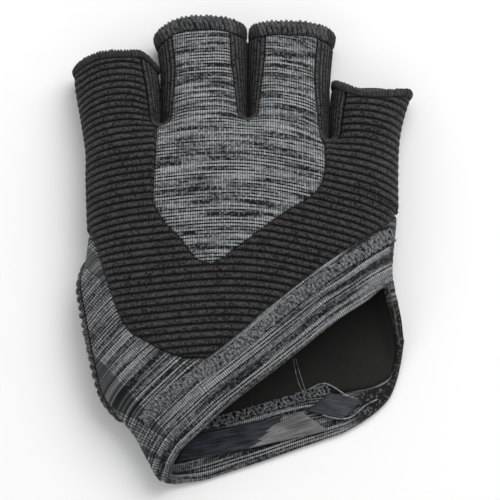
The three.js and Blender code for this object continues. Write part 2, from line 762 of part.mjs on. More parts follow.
function wrist_band() {
  const strip = [];
  const drop = side_seam_depth - seam_gap / 2;
  const add = (hand_side, v, r) => {
    const at = (t) => side_point(hand_side, mixed(v.y, r.y, t), mixed(v.u, r.u, t));
    strip.push(strip_shares.map(at));
  };
  const right_edge = form_at("right", y_of(v_right_end));
  const lower = v_gap(right_edge);
  add("right", { u: -drop, y: y_of(v_right_end) - lower }, { u: -drop, y: y_of(rim_right_end) });
  add("right", { u: 1, y: y_of(v_right_side) - lower }, { u: 1, y: y_of(rim_right_side) });
  for (const row of band_rows) {
    const v = { x: row.vx * half_width, y: y_of(row.vat) };
    const r = { x: row.rx * half_width, y: y_of(row.rat) };
    v.y -= v_gap(v.x);
    if (row.vx > 0.3) {
      add("right", { u: developed("right", v.x, v.y), y: v.y }, { u: developed("right", r.x, r.y), y: r.y });
    } else {
      strip.push(strip_shares.map((t) => surface(mixed(v.x, r.x, t), mixed(v.y, r.y, t), 1)));
    }
  }
  for (const row of cuff_rows) {
    const v = { x: row.vx * half_width, y: y_of(row.vat) };
    v.y -= v_gap(v.x);
    const y = y_of(row.side);
    const hole = hole_edge(y, 1, thumb_hem_width + seam_gap * 2);
    const u = row.drop === null ? hole : -row.drop * side_seam_depth;
    add("left", { u: developed("left", v.x, v.y), y: v.y }, { u, y });
  }
  const above = y_of(thumb_hole_at) + thumb_hole_length / 2 + thumb_hem_width + seam_gap;
  const left_lower = v_gap(form_at("left", y_of(v_left_end)));
  add("left", { u: -drop, y: y_of(v_left_end) - left_lower }, { u: -drop, y: above });

  const shared = 5;
  const under = [strip[0].slice(shared)];
  const parts = strip_shares.length - 1 - shared;
  for (const row of [...heel_rows].reverse()) {
    const points = [];
    for (let j = 0; j <= parts; j += 1) {
      const x = mixed(row.x, row.rim_x, j / parts) * half_width;
      points.push(surface(x, mixed(y_of(row.seam), y_of(row.rim), j / parts), -1));
    }
    under.push(points);
  }
  const last = strip_shares.length - 1;
  const first_fold = 2 + band_rows.length;
  const fold = [];
  for (let j = parts; j >= 0; j -= 1) {
    fold.push(strip[first_fold + j][last]);
  }
  under.push(fold);
  return sheet("wrist_band", "grey_band", [strip, under], band_wall);
}

// The lower edge of the palm panel. Beside the little finger it turns up along the side of the hand.
const heel_turn = heel_rows.length - 2;
const heel_side_y = mixed(y_of(v_right_end), y_of(rim_right_end), strip_shares[5]);

function heel_seam(x) {
  const rows = heel_rows.slice(0, heel_turn + 1).map((row) => ({ x: row.x * half_width, y: y_of(row.seam) }));
  const left_y = y_of(cuff_rows[3].side);
  rows.unshift({ x: form_at("left", left_y) + inset_of(left_y, -side_seam_depth), y: left_y });
  const value = (at) => line_value(rows, "x", "y", at);
  const slope = (value(x + 1) - value(x - 1)) / 2;
  return value(x) + seam_gap * 2.7 * Math.sqrt(1 + Math.min(slope * slope, 9));
}

function palm_side_x(hand_side, y) {
  const hole = hand_side === "left" ? hole_edge(y, -1, thumb_hem_width + seam_gap * 3) : null;
  const inset = inset_of(y, hole === null ? -side_seam_depth - seam_gap : hole);
  if (hand_side === "left") {
    return form_at("left", y) + inset;
  }
  const beside = form_at("right", y) - inset;
  const rows = heel_rows.slice(heel_turn).map((row) => ({ x: row.x * half_width, y: y_of(row.seam) }));
  rows.push({ x: form_at("right", heel_side_y) - inset_of(heel_side_y, -side_seam_depth), y: heel_side_y });
  const turned = line_value(rows, "y", "x", y) - seam_gap * 1.8;
  return y < heel_side_y + 2 * seam_gap ? Math.min(beside, turned) : beside;
}

function palm_panel() {
  const columns = 5;
  const body_top = y_of(0.925);
  const last_root = Math.max(...slit_rows.map((slit) => y_of(slit.at)));
  const roots = slit_rows.map((slit) => y_of(slit.at));
  const reach = (y) => inset_of(y, -side_seam_depth) + seam_gap;
  const closing = roots.map((root) => root - reach(root) - slit_gap);
  const levels = [...roots, ...closing, last_root].filter((y, i, all) => all.indexOf(y) === i);
  levels.sort((a, b) => a - b);
  const edge = (index, hand, y) => {
    const slit = slit_rows[index];
    return slot_edge(slit, hand, y, reach(y), slit.x * half_width);
  };
  const grids = [];
  for (const finger of [0, 1, 2, 3]) {
    const left_x = (y) => (finger === 0 ? palm_side_x("left", y) : edge(finger - 1, "right", y));
    const right_x = (y) => (finger === 3 ? palm_side_x("right", y) : edge(finger, "left", y));
    const spaced = (t) => 0.5 - 0.5 * Math.cos(t * Math.PI);
    const make_row = (line, middle_y) => {
      let a = left_x(middle_y);
      let b = right_x(middle_y);
      for (let i = 0; i < 20; i += 1) {
        a = mixed(a, left_x(line(a)), 0.5);
        b = mixed(b, right_x(line(b)), 0.5);
      }
      const row = [];
      for (let j = 0; j <= columns; j += 1) {
        const x = mixed(a, b, spaced(j / columns));
        row.push(surface(x, line(x), -1));
      }
      return row;
    };
    const rows = [];
    for (const t of [0, 0.02, 0.06, 0.12, 0.2, 0.3, 0.4, 0.48, 0.54, 0.59, 0.62, 0.68, 0.84, 1]) {
      rows.push(make_row((x) => mixed(heel_seam(x), body_top, t), body_top * 0.5));
    }
    for (const y of levels) {
      rows.push(make_row(() => y, y));
    }
    const tube = last_root + finger_length * 0.15;
    const top = hem_line(finger, (left_x(tube) + right_x(tube)) / 2, -1);
    for (const t of [0.25, 0.5, 0.75]) {
      rows.push(make_row(() => mixed(last_root, top, t), last_root));
    }
    rows.push(make_row((x) => hem_line(finger, x, -1), top));
    grids.push(rows);
  }
  return sheet("palm_panel", "black_foam", grids, palm_wall);
}

function thumb_hem() {
  const columns = 28;
  const grid = [0, 0.5, 1].map((share) => {
    const margin = share * thumb_hem_width;
    const row = [];
    for (let i = 0; i <= columns; i += 1) {
      const turn = ((i % columns) + 0.5) * ((2 * Math.PI) / columns);
      const depth = (Math.cos(turn) > 0 ? thumb_hole_back_depth : thumb_hole_palm_depth) + margin;
      const y = y_of(thumb_hole_at) + (thumb_hole_length / 2 + margin) * Math.sin(turn);
      const around = -side_seam_depth + depth * Math.cos(turn);
      row.push({ ...side_point("left", y, around), swell: share === 0.5 ? 1 : 0.4 });
    }
    return row;
  });
  return sheet("thumb_hem", "grey_band", [grid], hem_wall, swelling);
}

// A blank label lies on the inside of the band, under the wrist.
function care_label() {
  const grid = [];
  for (let i = 0; i <= 8; i += 1) {
    const along = (i / 8 - 0.5) * label_length;
    const row = [];
    for (let j = 0; j <= 2; j += 1) {
      const across = (j / 2 - 0.5) * label_width;
      const x = label_row.x * half_width + along;
      row.push(surface(x, y_of(label_row.at) + along * label_row.slope + across, -1));
    }
    grid.push(row);
  }
  const under = band_wall + label_gap;
  return sheet("care_label", "satin", [grid], under + label_wall, () => -under);
}

const group = new THREE.Group();
group.name = "lifting_palm_guard";
group.add(back_panel());
group.add(back_insert());
group.add(wrist_band());
group.add(palm_panel());
group.add(thumb_hem());
group.add(care_label());
for (const index of [0, 1, 2]) {
  group.add(gusset(index));
}
for (const finger of [0, 1, 2, 3]) {
  group.add(finger_hem(finger));
}

const box = new THREE.Box3().setFromObject(group);
const centre = box.getCenter(new THREE.Vector3());
group.position.set(-centre.x, -centre.y, -box.min.z);

export default group;
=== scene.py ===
import math

import bpy
import numpy as np
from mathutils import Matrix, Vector
from mathutils.kdtree import KDTree


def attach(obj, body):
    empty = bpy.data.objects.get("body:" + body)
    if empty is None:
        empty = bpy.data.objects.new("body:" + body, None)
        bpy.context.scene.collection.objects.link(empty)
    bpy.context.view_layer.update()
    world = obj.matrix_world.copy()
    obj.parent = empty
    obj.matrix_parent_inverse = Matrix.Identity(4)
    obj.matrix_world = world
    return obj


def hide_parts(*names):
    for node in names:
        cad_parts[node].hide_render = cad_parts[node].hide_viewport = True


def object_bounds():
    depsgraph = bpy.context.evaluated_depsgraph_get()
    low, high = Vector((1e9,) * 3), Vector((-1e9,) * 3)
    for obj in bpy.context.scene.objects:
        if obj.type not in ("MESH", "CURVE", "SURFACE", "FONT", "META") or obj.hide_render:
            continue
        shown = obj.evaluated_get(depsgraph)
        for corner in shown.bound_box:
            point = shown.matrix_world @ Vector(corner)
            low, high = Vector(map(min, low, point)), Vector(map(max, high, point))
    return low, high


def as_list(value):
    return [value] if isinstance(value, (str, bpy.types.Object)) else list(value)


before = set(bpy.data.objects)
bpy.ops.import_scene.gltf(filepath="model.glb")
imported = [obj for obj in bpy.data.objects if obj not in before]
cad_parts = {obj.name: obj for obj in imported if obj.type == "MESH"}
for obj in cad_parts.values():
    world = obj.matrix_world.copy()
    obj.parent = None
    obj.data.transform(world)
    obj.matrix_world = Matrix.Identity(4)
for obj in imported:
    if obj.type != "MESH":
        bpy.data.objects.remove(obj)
cad_low, cad_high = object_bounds()
bpy.ops.object.select_all(action="DESELECT")

# Driving sizes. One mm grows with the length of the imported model.
mm = (cad_high.y - cad_low.y) / 138.66
origin = Vector((0.03 * mm, cad_low.y, 0.0))
half_width = 45.5 * mm
palm_length = 106 * mm
finger_length = 32.5 * mm
hand_height = 25.8 * mm
knit_wall = 1.7 * mm
band_wall = 2.2 * mm
palm_wall = 2.6 * mm
hem_wall = 2.4 * mm
rib_pitch = 2.12 * mm
rib_depth = 0.78 * mm
side_seam_depth = 4.4 * mm
slit_gap = 0.32 * mm
slit_power = 2.4
crown_fall = 0.13
hole_length = 43 * mm
hole_back_depth = 6.5 * mm
hole_palm_depth = 12 * mm
thumb_hem_width = 2.6 * mm
gusset_root_width = 2.5 * mm
gusset_rim_width = 4.2 * mm
long_hem = 4.5 * mm
short_hem = 2.2 * mm
panel_gap = 0.06 * mm
least_inset = 0.004 * mm
soft_ramp = 12 * mm
edge_tuck = 0.9 * mm
weld_distance = 0.02 * mm
straight_within = 0.25 * mm
per_metre = 1000
chance = np.random.default_rng(7)

# The hand form: stations along the hand, then left, right, top, side height and rounding, as shares.
FORM = np.array([
    (-0.057, -0.176, 1.092, 0.484, 0.291, 0.198), (-0.017, -0.387, 1.092, 0.523, 0.302, 0.209),
    (-0.006, -0.475, 1.092, 0.543, 0.310, 0.220), (0.015, -0.538, 1.092, 0.581, 0.318, 0.220),
    (0.045, -0.582, 1.092, 0.628, 0.329, 0.231), (0.090, -0.629, 1.092, 0.698, 0.349, 0.242),
    (0.135, -0.692, 1.092, 0.756, 0.360, 0.253), (0.179, -0.778, 1.092, 0.806, 0.372, 0.264),
    (0.226, -0.870, 1.092, 0.853, 0.388, 0.275), (0.274, -0.921, 1.090, 0.891, 0.395, 0.286),
    (0.340, -0.965, 1.081, 0.930, 0.407, 0.297), (0.406, -0.998, 1.048, 0.961, 0.407, 0.308),
    (0.475, -1.024, 1.004, 0.981, 0.407, 0.308), (0.531, -1.042, 0.969, 0.988, 0.407, 0.308),
    (0.566, -1.033, 0.958, 0.992, 0.407, 0.308), (0.613, -1.004, 0.960, 0.996, 0.407, 0.308),
    (0.679, -0.987, 0.974, 1.000, 0.403, 0.308), (0.745, -0.993, 0.991, 1.000, 0.399, 0.297),
    (0.849, -1.002, 0.993, 0.984, 0.388, 0.275), (0.925, -1.004, 0.998, 0.961, 0.372, 0.253),
    (0.981, -1.022, 1.011, 0.930, 0.357, 0.231), (1.123, -1.044, 1.040, 0.884, 0.341, 0.220),
    (1.369, -1.075, 1.092, 0.814, 0.326, 0.215), (1.585, -1.088, 1.116, 0.748, 0.310, 0.215),
    (1.800, -1.095, 1.132, 0.690, 0.302, 0.215), (2.046, -1.099, 1.143, 0.632, 0.295, 0.215),
    (2.292, -1.099, 1.143, 0.581, 0.291, 0.215),
])
# Slits between the fingers: root point, and the two facing edges at the far end.
SLITS = [(-0.523, 1.031, -0.630, -0.585), (0.033, 1.080, 0.008, 0.056), (0.558, 0.964, 0.598, 0.692)]
# Finger mouths: rim heights over the back, at the left, at the right and under the palm.
RIMS = [
    (1.665, 1.570, 1.590, 1.570, short_hem), (2.004, 1.890, 1.975, 1.900, long_hem),
    (1.950, 1.970, 1.910, 1.900, long_hem), (1.262, 1.440, 1.355, 1.460, short_hem),
]
FINGERS = ["index", "middle", "ring", "little"]
# Outline of the grey insert: height, left edge, right edge.
INSERT = np.array([
    (0.5750, -0.216, -0.196), (0.5810, -0.262, -0.160), (0.5900, -0.300, -0.125), (0.6170, -0.345, -0.046),
    (0.6470, -0.396, 0.048), (0.6900, -0.490, 0.175), (0.7300, -0.548, 0.303), (0.7530, -0.566, 0.398),
    (0.7760, -0.566, 0.462), (0.8050, -0.562, 0.505), (0.8540, -0.558, 0.526), (0.9200, -0.549, 0.526),
    (0.9450, -0.545, 0.505),
])
# Stations around the wrist band: seam to the ribs, then the folded edge.
BAND = np.array([
    (0.940, 0.712, 0.953, 0.538), (0.749, 0.645, 0.781, 0.476), (0.558, 0.590, 0.590, 0.420),
    (0.366, 0.527, 0.396, 0.352), (0.175, 0.462, 0.207, 0.287), (0.016, 0.400, 0.016, 0.224),
    (-0.112, 0.354, -0.132, 0.175), (-0.207, 0.323, -0.271, 0.121), (-0.250, 0.317, -0.386, 0.077),
    (-0.290, 0.316, -0.440, 0.043),
])
# Beside the thumb hole: seam point, height met on the side, and how far round the heel it folds.
CUFF = [
    (-0.325, 0.317, 0.000, 0), (-0.366, 0.319, 0.066, 0), (-0.410, 0.325, 0.123, 0.35),
    (-0.462, 0.333, 0.168, 0.96), (-0.530, 0.346, 0.190, None), (-0.590, 0.362, 0.235, None),
    (-0.704, 0.391, 0.310, None), (-0.781, 0.442, 0.390, None), (-0.832, 0.506, 0.470, None),
    (-0.889, 0.580, 0.545, None), (-0.940, 0.646, 0.600, None), (-0.978, 0.688, 0.626, None),
]
RIGHT_END, RIGHT_SIDE, LEFT_END = 0.752, 0.748, 0.694
RIM_RIGHT_END, RIM_RIGHT_SIDE, HOLE_AT = 0.395, 0.481, 0.405
# Shares across the band, from seam to fold, and fine steps between two of its stations.
BAND_STEPS = 6
STRIP = np.array([0, 0.2, 0.4, 0.58, 0.74, 0.865, 0.91, 0.955, 1])
# Palm side of the band: seam x, rim x, rim height, seam height.
HEEL = np.array([
    (-0.705, -0.470, 0.000, 0.166), (-0.660, -0.462, 0.001, 0.164), (-0.540, -0.440, 0.002, 0.160),
    (-0.411, -0.411, 0.004, 0.158), (-0.245, -0.245, 0.024, 0.174), (-0.080, -0.080, 0.047, 0.196),
    (0.073, 0.073, 0.069, 0.214), (0.226, 0.226, 0.092, 0.235), (0.373, 0.373, 0.115, 0.251),
    (0.519, 0.519, 0.137, 0.258), (0.660, 0.660, 0.160, 0.265), (0.825, 0.825, 0.205, 0.279),
    (0.934, 0.934, 0.251, 0.302), (0.985, 0.985, 0.295, 0.340), (1.015, 1.015, 0.345, 0.388),
])


# The shape of the hand.
def tall(at):
    at = np.asarray(at, float)
    return np.where(at < 1, at * palm_length, palm_length + (at - 1) * finger_length)


def smooth_value(keys, values, key):
    key = np.clip(key, keys[0], keys[-1])
    i = np.clip(np.searchsorted(keys, key, side="left") - 1, 0, len(keys) - 2)
    below = np.maximum(np.arange(len(keys)) - 1, 0)
    above = np.minimum(np.arange(len(keys)) + 1, len(keys) - 1)
    slope = (values[above] - values[below]) / (keys[above] - keys[below])
    width = keys[i + 1] - keys[i]
    t = (key - keys[i]) / width
    bend = t - t * t
    turn = (slope[i] * (1 - t) - slope[i + 1] * t) * bend * width
    return values[i] + (values[i + 1] - values[i]) * t * t * (3 - 2 * t) + turn


FORM_KEYS = tall(FORM[:, 0])
FORM_COLUMNS = {"left": (1, half_width), "right": (2, half_width), "round": (5, half_width),
                "top": (3, hand_height), "side": (4, hand_height)}


def form_at(name, y):
    column, unit = FORM_COLUMNS[name]
    return smooth_value(FORM_KEYS, FORM[:, column] * unit, y)


def slit_edge(slit, y, hand):
    x, at, left, right = SLITS[slit]
    root, far = tall(at), palm_length + finger_length
    t = np.clip((y - root) / (far - root), 0, 1.4)
    start = x * half_width + (-slit_gap if hand == "left" else slit_gap)
    end = (left if hand == "left" else right) * half_width
    return start + (end - start) * t ** slit_power


def slit_line(slit):
    x, at, _, _ = SLITS[slit]
    root = tall(at)
    y = np.linspace(palm_length + finger_length * 1.3, root, 25)
    turn = math.pi * (1 + np.arange(1, 8) / 8)
    arc = np.stack([x * half_width + slit_gap * np.cos(turn), root + slit_gap * np.sin(turn)], 1)
    left = np.stack([slit_edge(slit, y, "left"), y], 1)
    right = np.stack([slit_edge(slit, y, "right"), y], 1)[::-1]
    return np.concatenate([left, arc, right])


def outline():
    y = np.linspace(FORM_KEYS[0], FORM_KEYS[-1], 161)
    left = np.stack([form_at("left", y), y], 1)
    right = np.stack([form_at("right", y), y], 1)[::-1]
    lines = [left, right] + [slit_line(i) for i in range(3)]
    return np.concatenate([l[:-1] for l in lines]), np.concatenate([l[1:] for l in lines])


EDGE_A, EDGE_B = outline()


def nearest_edge(x, y):
    point = np.stack([x, y], 1)
    along = EDGE_B - EDGE_A
    length = (along ** 2).sum(1)
    distance, inward = np.empty(len(x)), np.empty((len(x), 2))
    batch = 3000
    for start in range(0, len(x), batch):
        part = point[start:start + batch, None]
        t = np.clip(((part - EDGE_A) * along).sum(2) / length, 0, 1)
        gap = part - (EDGE_A + along * t[..., None])
        size = np.hypot(gap[..., 0], gap[..., 1])
        best = size.argmin(1)
        row = np.arange(len(best))
        near = size[row, best]
        straight = np.stack([along[best, 1], -along[best, 0]], 1) / np.sqrt(length[best])[:, None]
        away = gap[row, best] / np.maximum(near, 1e-9)[:, None]
        distance[start:start + batch] = near
        inward[start:start + batch] = np.where((near < straight_within)[:, None], straight, away)
    return distance, inward


def crown(x, y):
    return form_at("top", y) * (1 - crown_fall * (x / half_width) ** 2)


def surface(x, y, side):
    """Points of the hand form and their outward directions. side is 1 over the back, -1 under the palm."""
    x, y, side = np.broadcast_arrays(np.asarray(x, float), np.asarray(y, float), np.asarray(side, float))
    shape = x.shape
    x, y, side = x.ravel(), y.ravel(), side.ravel()
    distance, inward = nearest_edge(x, y)
    over = side > 0
    middle = form_at("side", y)
    rounding = form_at("round", y) * np.where(over, 1, 0.5)
    reach = np.where(over, crown(x, y) - middle, middle)
    inset = 1 - np.minimum(distance / rounding, 1)
    rise = np.sqrt(np.maximum(0, 1 - inset * inset))
    step = 0.4 * mm
    slope_x = np.where(over, (crown(x + step, y) - crown(x - step, y)) / (2 * step), 0)
    slope_y = np.where(over, (crown(x, y + step) - crown(x, y - step)) / (2 * step), 0)
    normal = np.stack([
        -inset / rounding * inward[:, 0] - rise * slope_x / reach,
        -inset / rounding * inward[:, 1] - rise * slope_y / reach,
        side * rise / reach,
    ], 1)
    normal /= np.linalg.norm(normal, axis=1, keepdims=True)
    point = np.stack([x, y, middle + side * reach * rise], 1)
    return point.reshape(*shape, 3), normal.reshape(*shape, 3)


def quarter_arc(y, side):
    rounding = form_at("round", y) * np.where(side > 0, 1, 0.5)
    middle = form_at("side", y)
    reach = np.where(side > 0, form_at("top", y) * 0.93 - middle, middle)
    return math.pi / 2 * np.sqrt((rounding ** 2 + reach ** 2) / 2)


def inset_of(y, around):
    side = np.where(around < 0, -1, 1)
    rounding = form_at("round", y) * np.where(side > 0, 1, 0.5)
    arc = quarter_arc(y, side)
    q = np.abs(around)
    turned = rounding * (1 - np.cos(np.minimum(q / arc, 1) * math.pi / 2))
    return np.where(q > arc, rounding + q - arc, np.maximum(turned, least_inset))


def seam_inset(y):
    """How far in from the side the palm's seam lies."""
    return inset_of(y, np.array(-side_seam_depth))


def around_of(y, inset):
    rounding, arc = form_at("round", y), quarter_arc(y, 1)
    turned = np.arccos(np.clip(1 - np.maximum(inset, 0) / rounding, -1, 1)) / (math.pi / 2) * arc
    return np.where(inset > rounding, arc + inset - rounding, turned)


def side_point(hand, y, around):
    inset = inset_of(y, around)
    x = form_at("left", y) + inset if hand == "left" else form_at("right", y) - inset
    return surface(x, y, np.where(around < 0, -1, 1))


def mixed(a, b, t):
    return a + (b - a) * t


def eased(t):
    t = np.clip(t, 0, 1)
    return t * t * (3 - 2 * t)


# Fingers, hems and gussets.
def finger_edges(finger, y):
    left = form_at("left", y) if finger == 0 else slit_edge(finger - 1, y, "right")
    right = form_at("right", y) if finger == 3 else slit_edge(finger, y, "left")
    return left, right


def rim_height(finger, turn, below):
    back, left, right, palm, _ = RIMS[finger]
    edge = np.where(np.cos(turn) > 0, right, left)
    flat = np.where(np.sin(turn) > 0, back, palm)
    corner = 1.3 * mm * np.exp(-((turn - 0.85) / 0.3) ** 2) if finger == 0 else 0
    return tall(mixed(edge, flat, np.sin(turn) ** 2)) + corner - below


def finger_point(finger, turn, below):
    y = rim_height(finger, turn, below)
    left, right = finger_edges(finger, y)
    half = (right - left) / 2 - least_inset
    return surface((left + right) / 2 + half * np.cos(turn), y, np.where(np.sin(turn) < 0, -1, 1))


def hem_line(finger, x, side):
    y = np.full(np.shape(x), float(tall(RIMS[finger][0])))
    for _ in range(6):
        left, right = finger_edges(finger, y)
        share = np.clip((x - (left + right) / 2) * 2 / (right - left), -1, 1)
        y = rim_height(finger, side * np.arccos(share), RIMS[finger][4] + 0.1 * mm)
    return y


def gusset_reach(slit, y):
    t = np.clip((y - tall(SLITS[slit][1])) / finger_length, 0, 1)
    return mixed(gusset_root_width, gusset_rim_width, np.minimum(1, t * 2))


def slot_edge(slit, hand, y, reach, closed_x):
    out = -1 if hand == "left" else 1
    root = tall(SLITS[slit][1])
    depth = reach + slit_gap
    arc = SLITS[slit][0] * half_width + out * np.sqrt(np.maximum(depth ** 2 - (root - y) ** 2, 0))
    beside = slit_edge(slit, y, hand) + out * reach
    return np.where(y >= root, beside, np.where(y <= root - depth, closed_x, arc))


def insert_edge(side, y):
    column = 1 if side == "left" else 2
    low = np.interp(y, tall(INSERT[:, 0]), INSERT[:, column] * half_width)
    slit, hand = (0, "right") if side == "left" else (2, "left")
    top_x = INSERT[-1, column] * half_width
    beside = slot_edge(slit, hand, y, gusset_reach(slit, y) + panel_gap, top_x)
    beside = np.maximum(beside, top_x) if side == "left" else np.minimum(beside, top_x)
    return np.where(y <= tall(INSERT[-1, 0]), low, beside)


def panel_edge(side, y):
    slit = 0 if side == "left" else 2
    out = -1 if side == "left" else 1
    step = 0.5 * mm
    slope = (insert_edge(side, y + step) - insert_edge(side, y - step)) / (2 * step)
    beside = insert_edge(side, y) + out * 0.08 * mm * np.sqrt(1 + np.minimum(slope ** 2, 16))
    around = slot_edge(slit, side, y, gusset_reach(slit, y) + panel_gap, beside)
    both = np.minimum(around, beside) if side == "left" else np.maximum(around, beside)
    return np.where(y >= tall(SLITS[slit][1]), around, both)


# Ribs run level over the back and fall away towards the little finger.
RIB_BEND, RIB_FINGER = 0.11 * half_width, 0.59 * half_width


def gentle(distance):
    """A ramp that starts softly."""
    return (distance + np.sqrt(distance ** 2 + soft_ramp ** 2)) / 2


def rib_drop(x, y):
    rise = 0.11 * gentle(-0.09 * half_width - x)
    low = 0.27 * gentle(x - RIB_BEND) + rise
    beyond = np.maximum(0, x - RIB_FINGER)
    high = 0.27 * gentle(np.minimum(x, RIB_FINGER) - RIB_BEND) + 0.08 * beyond + rise
    fall = eased((tall(1.18) - y) / (tall(1.18) - tall(0.68)))
    beside = np.minimum(np.abs(x + 0.83 * half_width), 9 * mm)
    arch = beside ** 2 / (48 * mm) * np.clip((y - tall(0.96)) / (10 * mm), 0, 1) * (x < -0.55 * half_width)
    return mixed(high, low, fall) + arch


def rib_y(level, x):
    y = level - rib_drop(x, level)
    for _ in range(12):
        y = level - rib_drop(x, y)
    return y


def seam_rows():
    rows = [(r[0] * half_width, tall(r[1])) for r in BAND] + [(r[0] * half_width, tall(r[1])) for r in CUFF]
    rows.append((float(form_at("left", tall(LEFT_END))), tall(LEFT_END)))
    rows.append((float(form_at("right", tall(RIGHT_END))), tall(RIGHT_END)))
    return np.array(sorted(rows))


SEAM = seam_rows()


def v_y(x):
    return np.interp(x, SEAM[:, 0], SEAM[:, 1])


# Making cloth from grids of points.
def grid_object(points, normals, cloth_uv, wall, dark_fringe_and_shade=None):
    """One grid primitive, laid on the form: points and normals are rows by columns by 3, cloth_uv in mm."""
    rows, columns = points.shape[:2]
    bpy.ops.mesh.primitive_grid_add(x_subdivisions=columns - 1, y_subdivisions=rows - 1, size=1)
    piece = bpy.context.object
    mesh = piece.data
    flat = np.empty(len(mesh.vertices) * 3)
    mesh.vertices.foreach_get("co", flat)
    flat = flat.reshape(-1, 3) + 0.5
    i = np.rint(flat[:, 0] * (columns - 1)).astype(int)
    j = np.rint(flat[:, 1] * (rows - 1)).astype(int)
    at = j * columns + i
    outer = points.reshape(-1, 3)[at] + np.array(origin)
    mesh.vertices.foreach_set("co", outer.ravel())
    inner = mesh.attributes.new("inner_face", "FLOAT_VECTOR", "POINT")
    inner.data.foreach_set("vector", (outer - normals.reshape(-1, 3)[at] * wall).ravel())
    if dark_fringe_and_shade is not None:
        # Dark share: the band's real dark fringe, and painted shade in the gusset's valleys and along the
        # band's seam.
        share = mesh.attributes.new("fringe_and_shade_share", "FLOAT", "POINT")
        share.data.foreach_set("value", dark_fringe_and_shade.ravel()[at])
    corner = np.empty(len(mesh.loops), int)
    mesh.loops.foreach_get("vertex_index", corner)
    mesh.uv_layers.active.data.foreach_set("uv", cloth_uv.reshape(-1, 2)[at][corner].ravel())
    mesh.update()
    facing = np.empty(len(mesh.polygons) * 3)
    mesh.polygons.foreach_get("normal", facing)
    first = np.empty(len(mesh.polygons), int)
    mesh.polygons.foreach_get("loop_start", first)
    wanted = normals.reshape(-1, 3)[at][corner[first]]
    if (facing.reshape(-1, 3) * wanted).sum() < 0:
        mesh.flip_normals()
    return piece


def select_only(*pieces):
    bpy.ops.object.select_all(action="DESELECT")
    for piece in pieces:
        piece.select_set(True)
    bpy.context.view_layer.objects.active = pieces[0]


def merged(piece, distance):
    select_only(piece)
    bpy.ops.object.mode_set(mode="EDIT")
    bpy.ops.mesh.select_all(action="SELECT")
    bpy.ops.mesh.remove_doubles(threshold=distance)
    bpy.ops.mesh.dissolve_degenerate(threshold=distance * 0.2)
    bpy.ops.object.mode_set(mode="OBJECT")


def open_edge(mesh):
    """Vertices on the open edge of a sheet."""
    faces = {}
    for polygon in mesh.polygons:
        for key in polygon.edge_keys:
            faces[key] = faces.get(key, 0) + 1
    return sorted({v for key, count in faces.items() if count == 1 for v in key})


def give_wall(piece, roll):
    """Extrudes a sheet to its inner face, and rounds its edges over a width of roll."""
    mesh = piece.data
    edge = open_edge(mesh)
    tree = KDTree(len(edge))
    for v in edge:
        tree.insert(mesh.vertices[v].co, v)
    tree.balance()
    share = mesh.attributes.new("wall_share", "FLOAT", "POINT")
    near = np.array([1 - min(tree.find(v.co)[2] / roll, 1) for v in mesh.vertices])
    share.data.foreach_set("value", np.maximum(0.16, np.sqrt(1 - near * near)))
    select_only(piece)
    bpy.ops.object.mode_set(mode="EDIT")
    bpy.ops.mesh.select_all(action="SELECT")
    bpy.ops.mesh.extrude_region()
    bpy.ops.object.mode_set(mode="OBJECT")
    count = len(mesh.vertices)
    top, outer, inner, full = np.empty(count, bool), np.empty(count * 3), np.empty(count * 3), np.empty(count)
    mesh.vertices.foreach_get("select", top)
    mesh.vertices.foreach_get("co", outer)
    mesh.attributes["inner_face"].data.foreach_get("vector", inner)
    mesh.attributes["wall_share"].data.foreach_get("value", full)
    outer, inner = outer.reshape(-1, 3), inner.reshape(-1, 3)
    half = (outer - inner) / 2 * full[:, None]
    place = (outer + inner) / 2 + np.where(top[:, None], half, -half)
    mesh.vertices.foreach_set("co", place.ravel())
    mesh.attributes.remove(mesh.attributes["inner_face"])
    mesh.attributes.remove(mesh.attributes["wall_share"])
    mesh.update()


def cloth(name, grids, wall, roll, material, node=None):
    """A closed sheet of cloth from grids of (points, normals, uv) and, if wanted, a dark share of real fringe
    and painted shade.
    """
    pieces = [grid_object(*grid[:3], wall, *grid[3:]) for grid in grids]
    select_only(*pieces)
    if len(pieces) > 1:
        bpy.ops.object.join()
    piece = bpy.context.object
    piece.name = name
    piece.data.name = name
    merged(piece, weld_distance)
    give_wall(piece, roll)
    finish_piece(piece, material)
    if node:
        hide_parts(node)
    return piece


def finish_piece(piece, material):
    piece.data.materials.clear()
    piece.data.materials.append(material)
    select_only(piece)
    bpy.ops.object.shade_smooth()
    bpy.ops.object.select_all(action="DESELECT")
    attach(piece, "root")


def summed(steps):
    return np.concatenate([[0], np.cumsum(steps)])


def run_along(line):
    return summed(np.linalg.norm(np.diff(line, axis=0), axis=1))


def stacked(rows):
    """One grid of each kind from rows of (points, directions) or (points, directions, uv)."""
    return [np.stack(values) for values in zip(*rows)]


def evenly(keys, count):
    return np.interp(np.linspace(0, len(keys) - 1, count), range(len(keys)), keys)


def run_lengths(points):
    """Running length along the rows, averaged over the columns."""
    steps = np.linalg.norm(np.diff(points, axis=0), axis=2).mean(1)
    return summed(np.maximum(steps, 0.01 * mm))


def refined(points, normals, row_count, column_count, column_keys=None):
    """A finer grid through the same points, smooth in both directions."""
    row_keys = run_lengths(points)
    column_keys = run_lengths(points.transpose(1, 0, 2)) if column_keys is None else column_keys
    fine_rows, fine_columns = evenly(row_keys, row_count), evenly(column_keys, column_count)
    results = []
    for values in (points, normals):
        down = np.stack([smooth_value(row_keys, values[:, j, k], fine_rows)
                         for j in range(values.shape[1]) for k in range(3)], 1)
        down = down.reshape(row_count, values.shape[1], 3)
        across = np.stack([smooth_value(column_keys, down[i, :, k], fine_columns)
                           for i in range(row_count) for k in range(3)], 0)
        results.append(across.reshape(row_count, 3, column_count).transpose(0, 2, 1))
    results[1] /= np.linalg.norm(results[1], axis=2, keepdims=True)
    return results


def lengths_uv(points):
    """Cloth coordinates in mm from a grid: across along the columns, up along the rows."""
    across = np.linalg.norm(np.diff(points, axis=1), axis=2).mean(0)
    up = np.linalg.norm(np.diff(points, axis=0), axis=2).mean(1)
    return np.stack(np.meshgrid(summed(across) * per_metre, summed(up) * per_metre), 2)


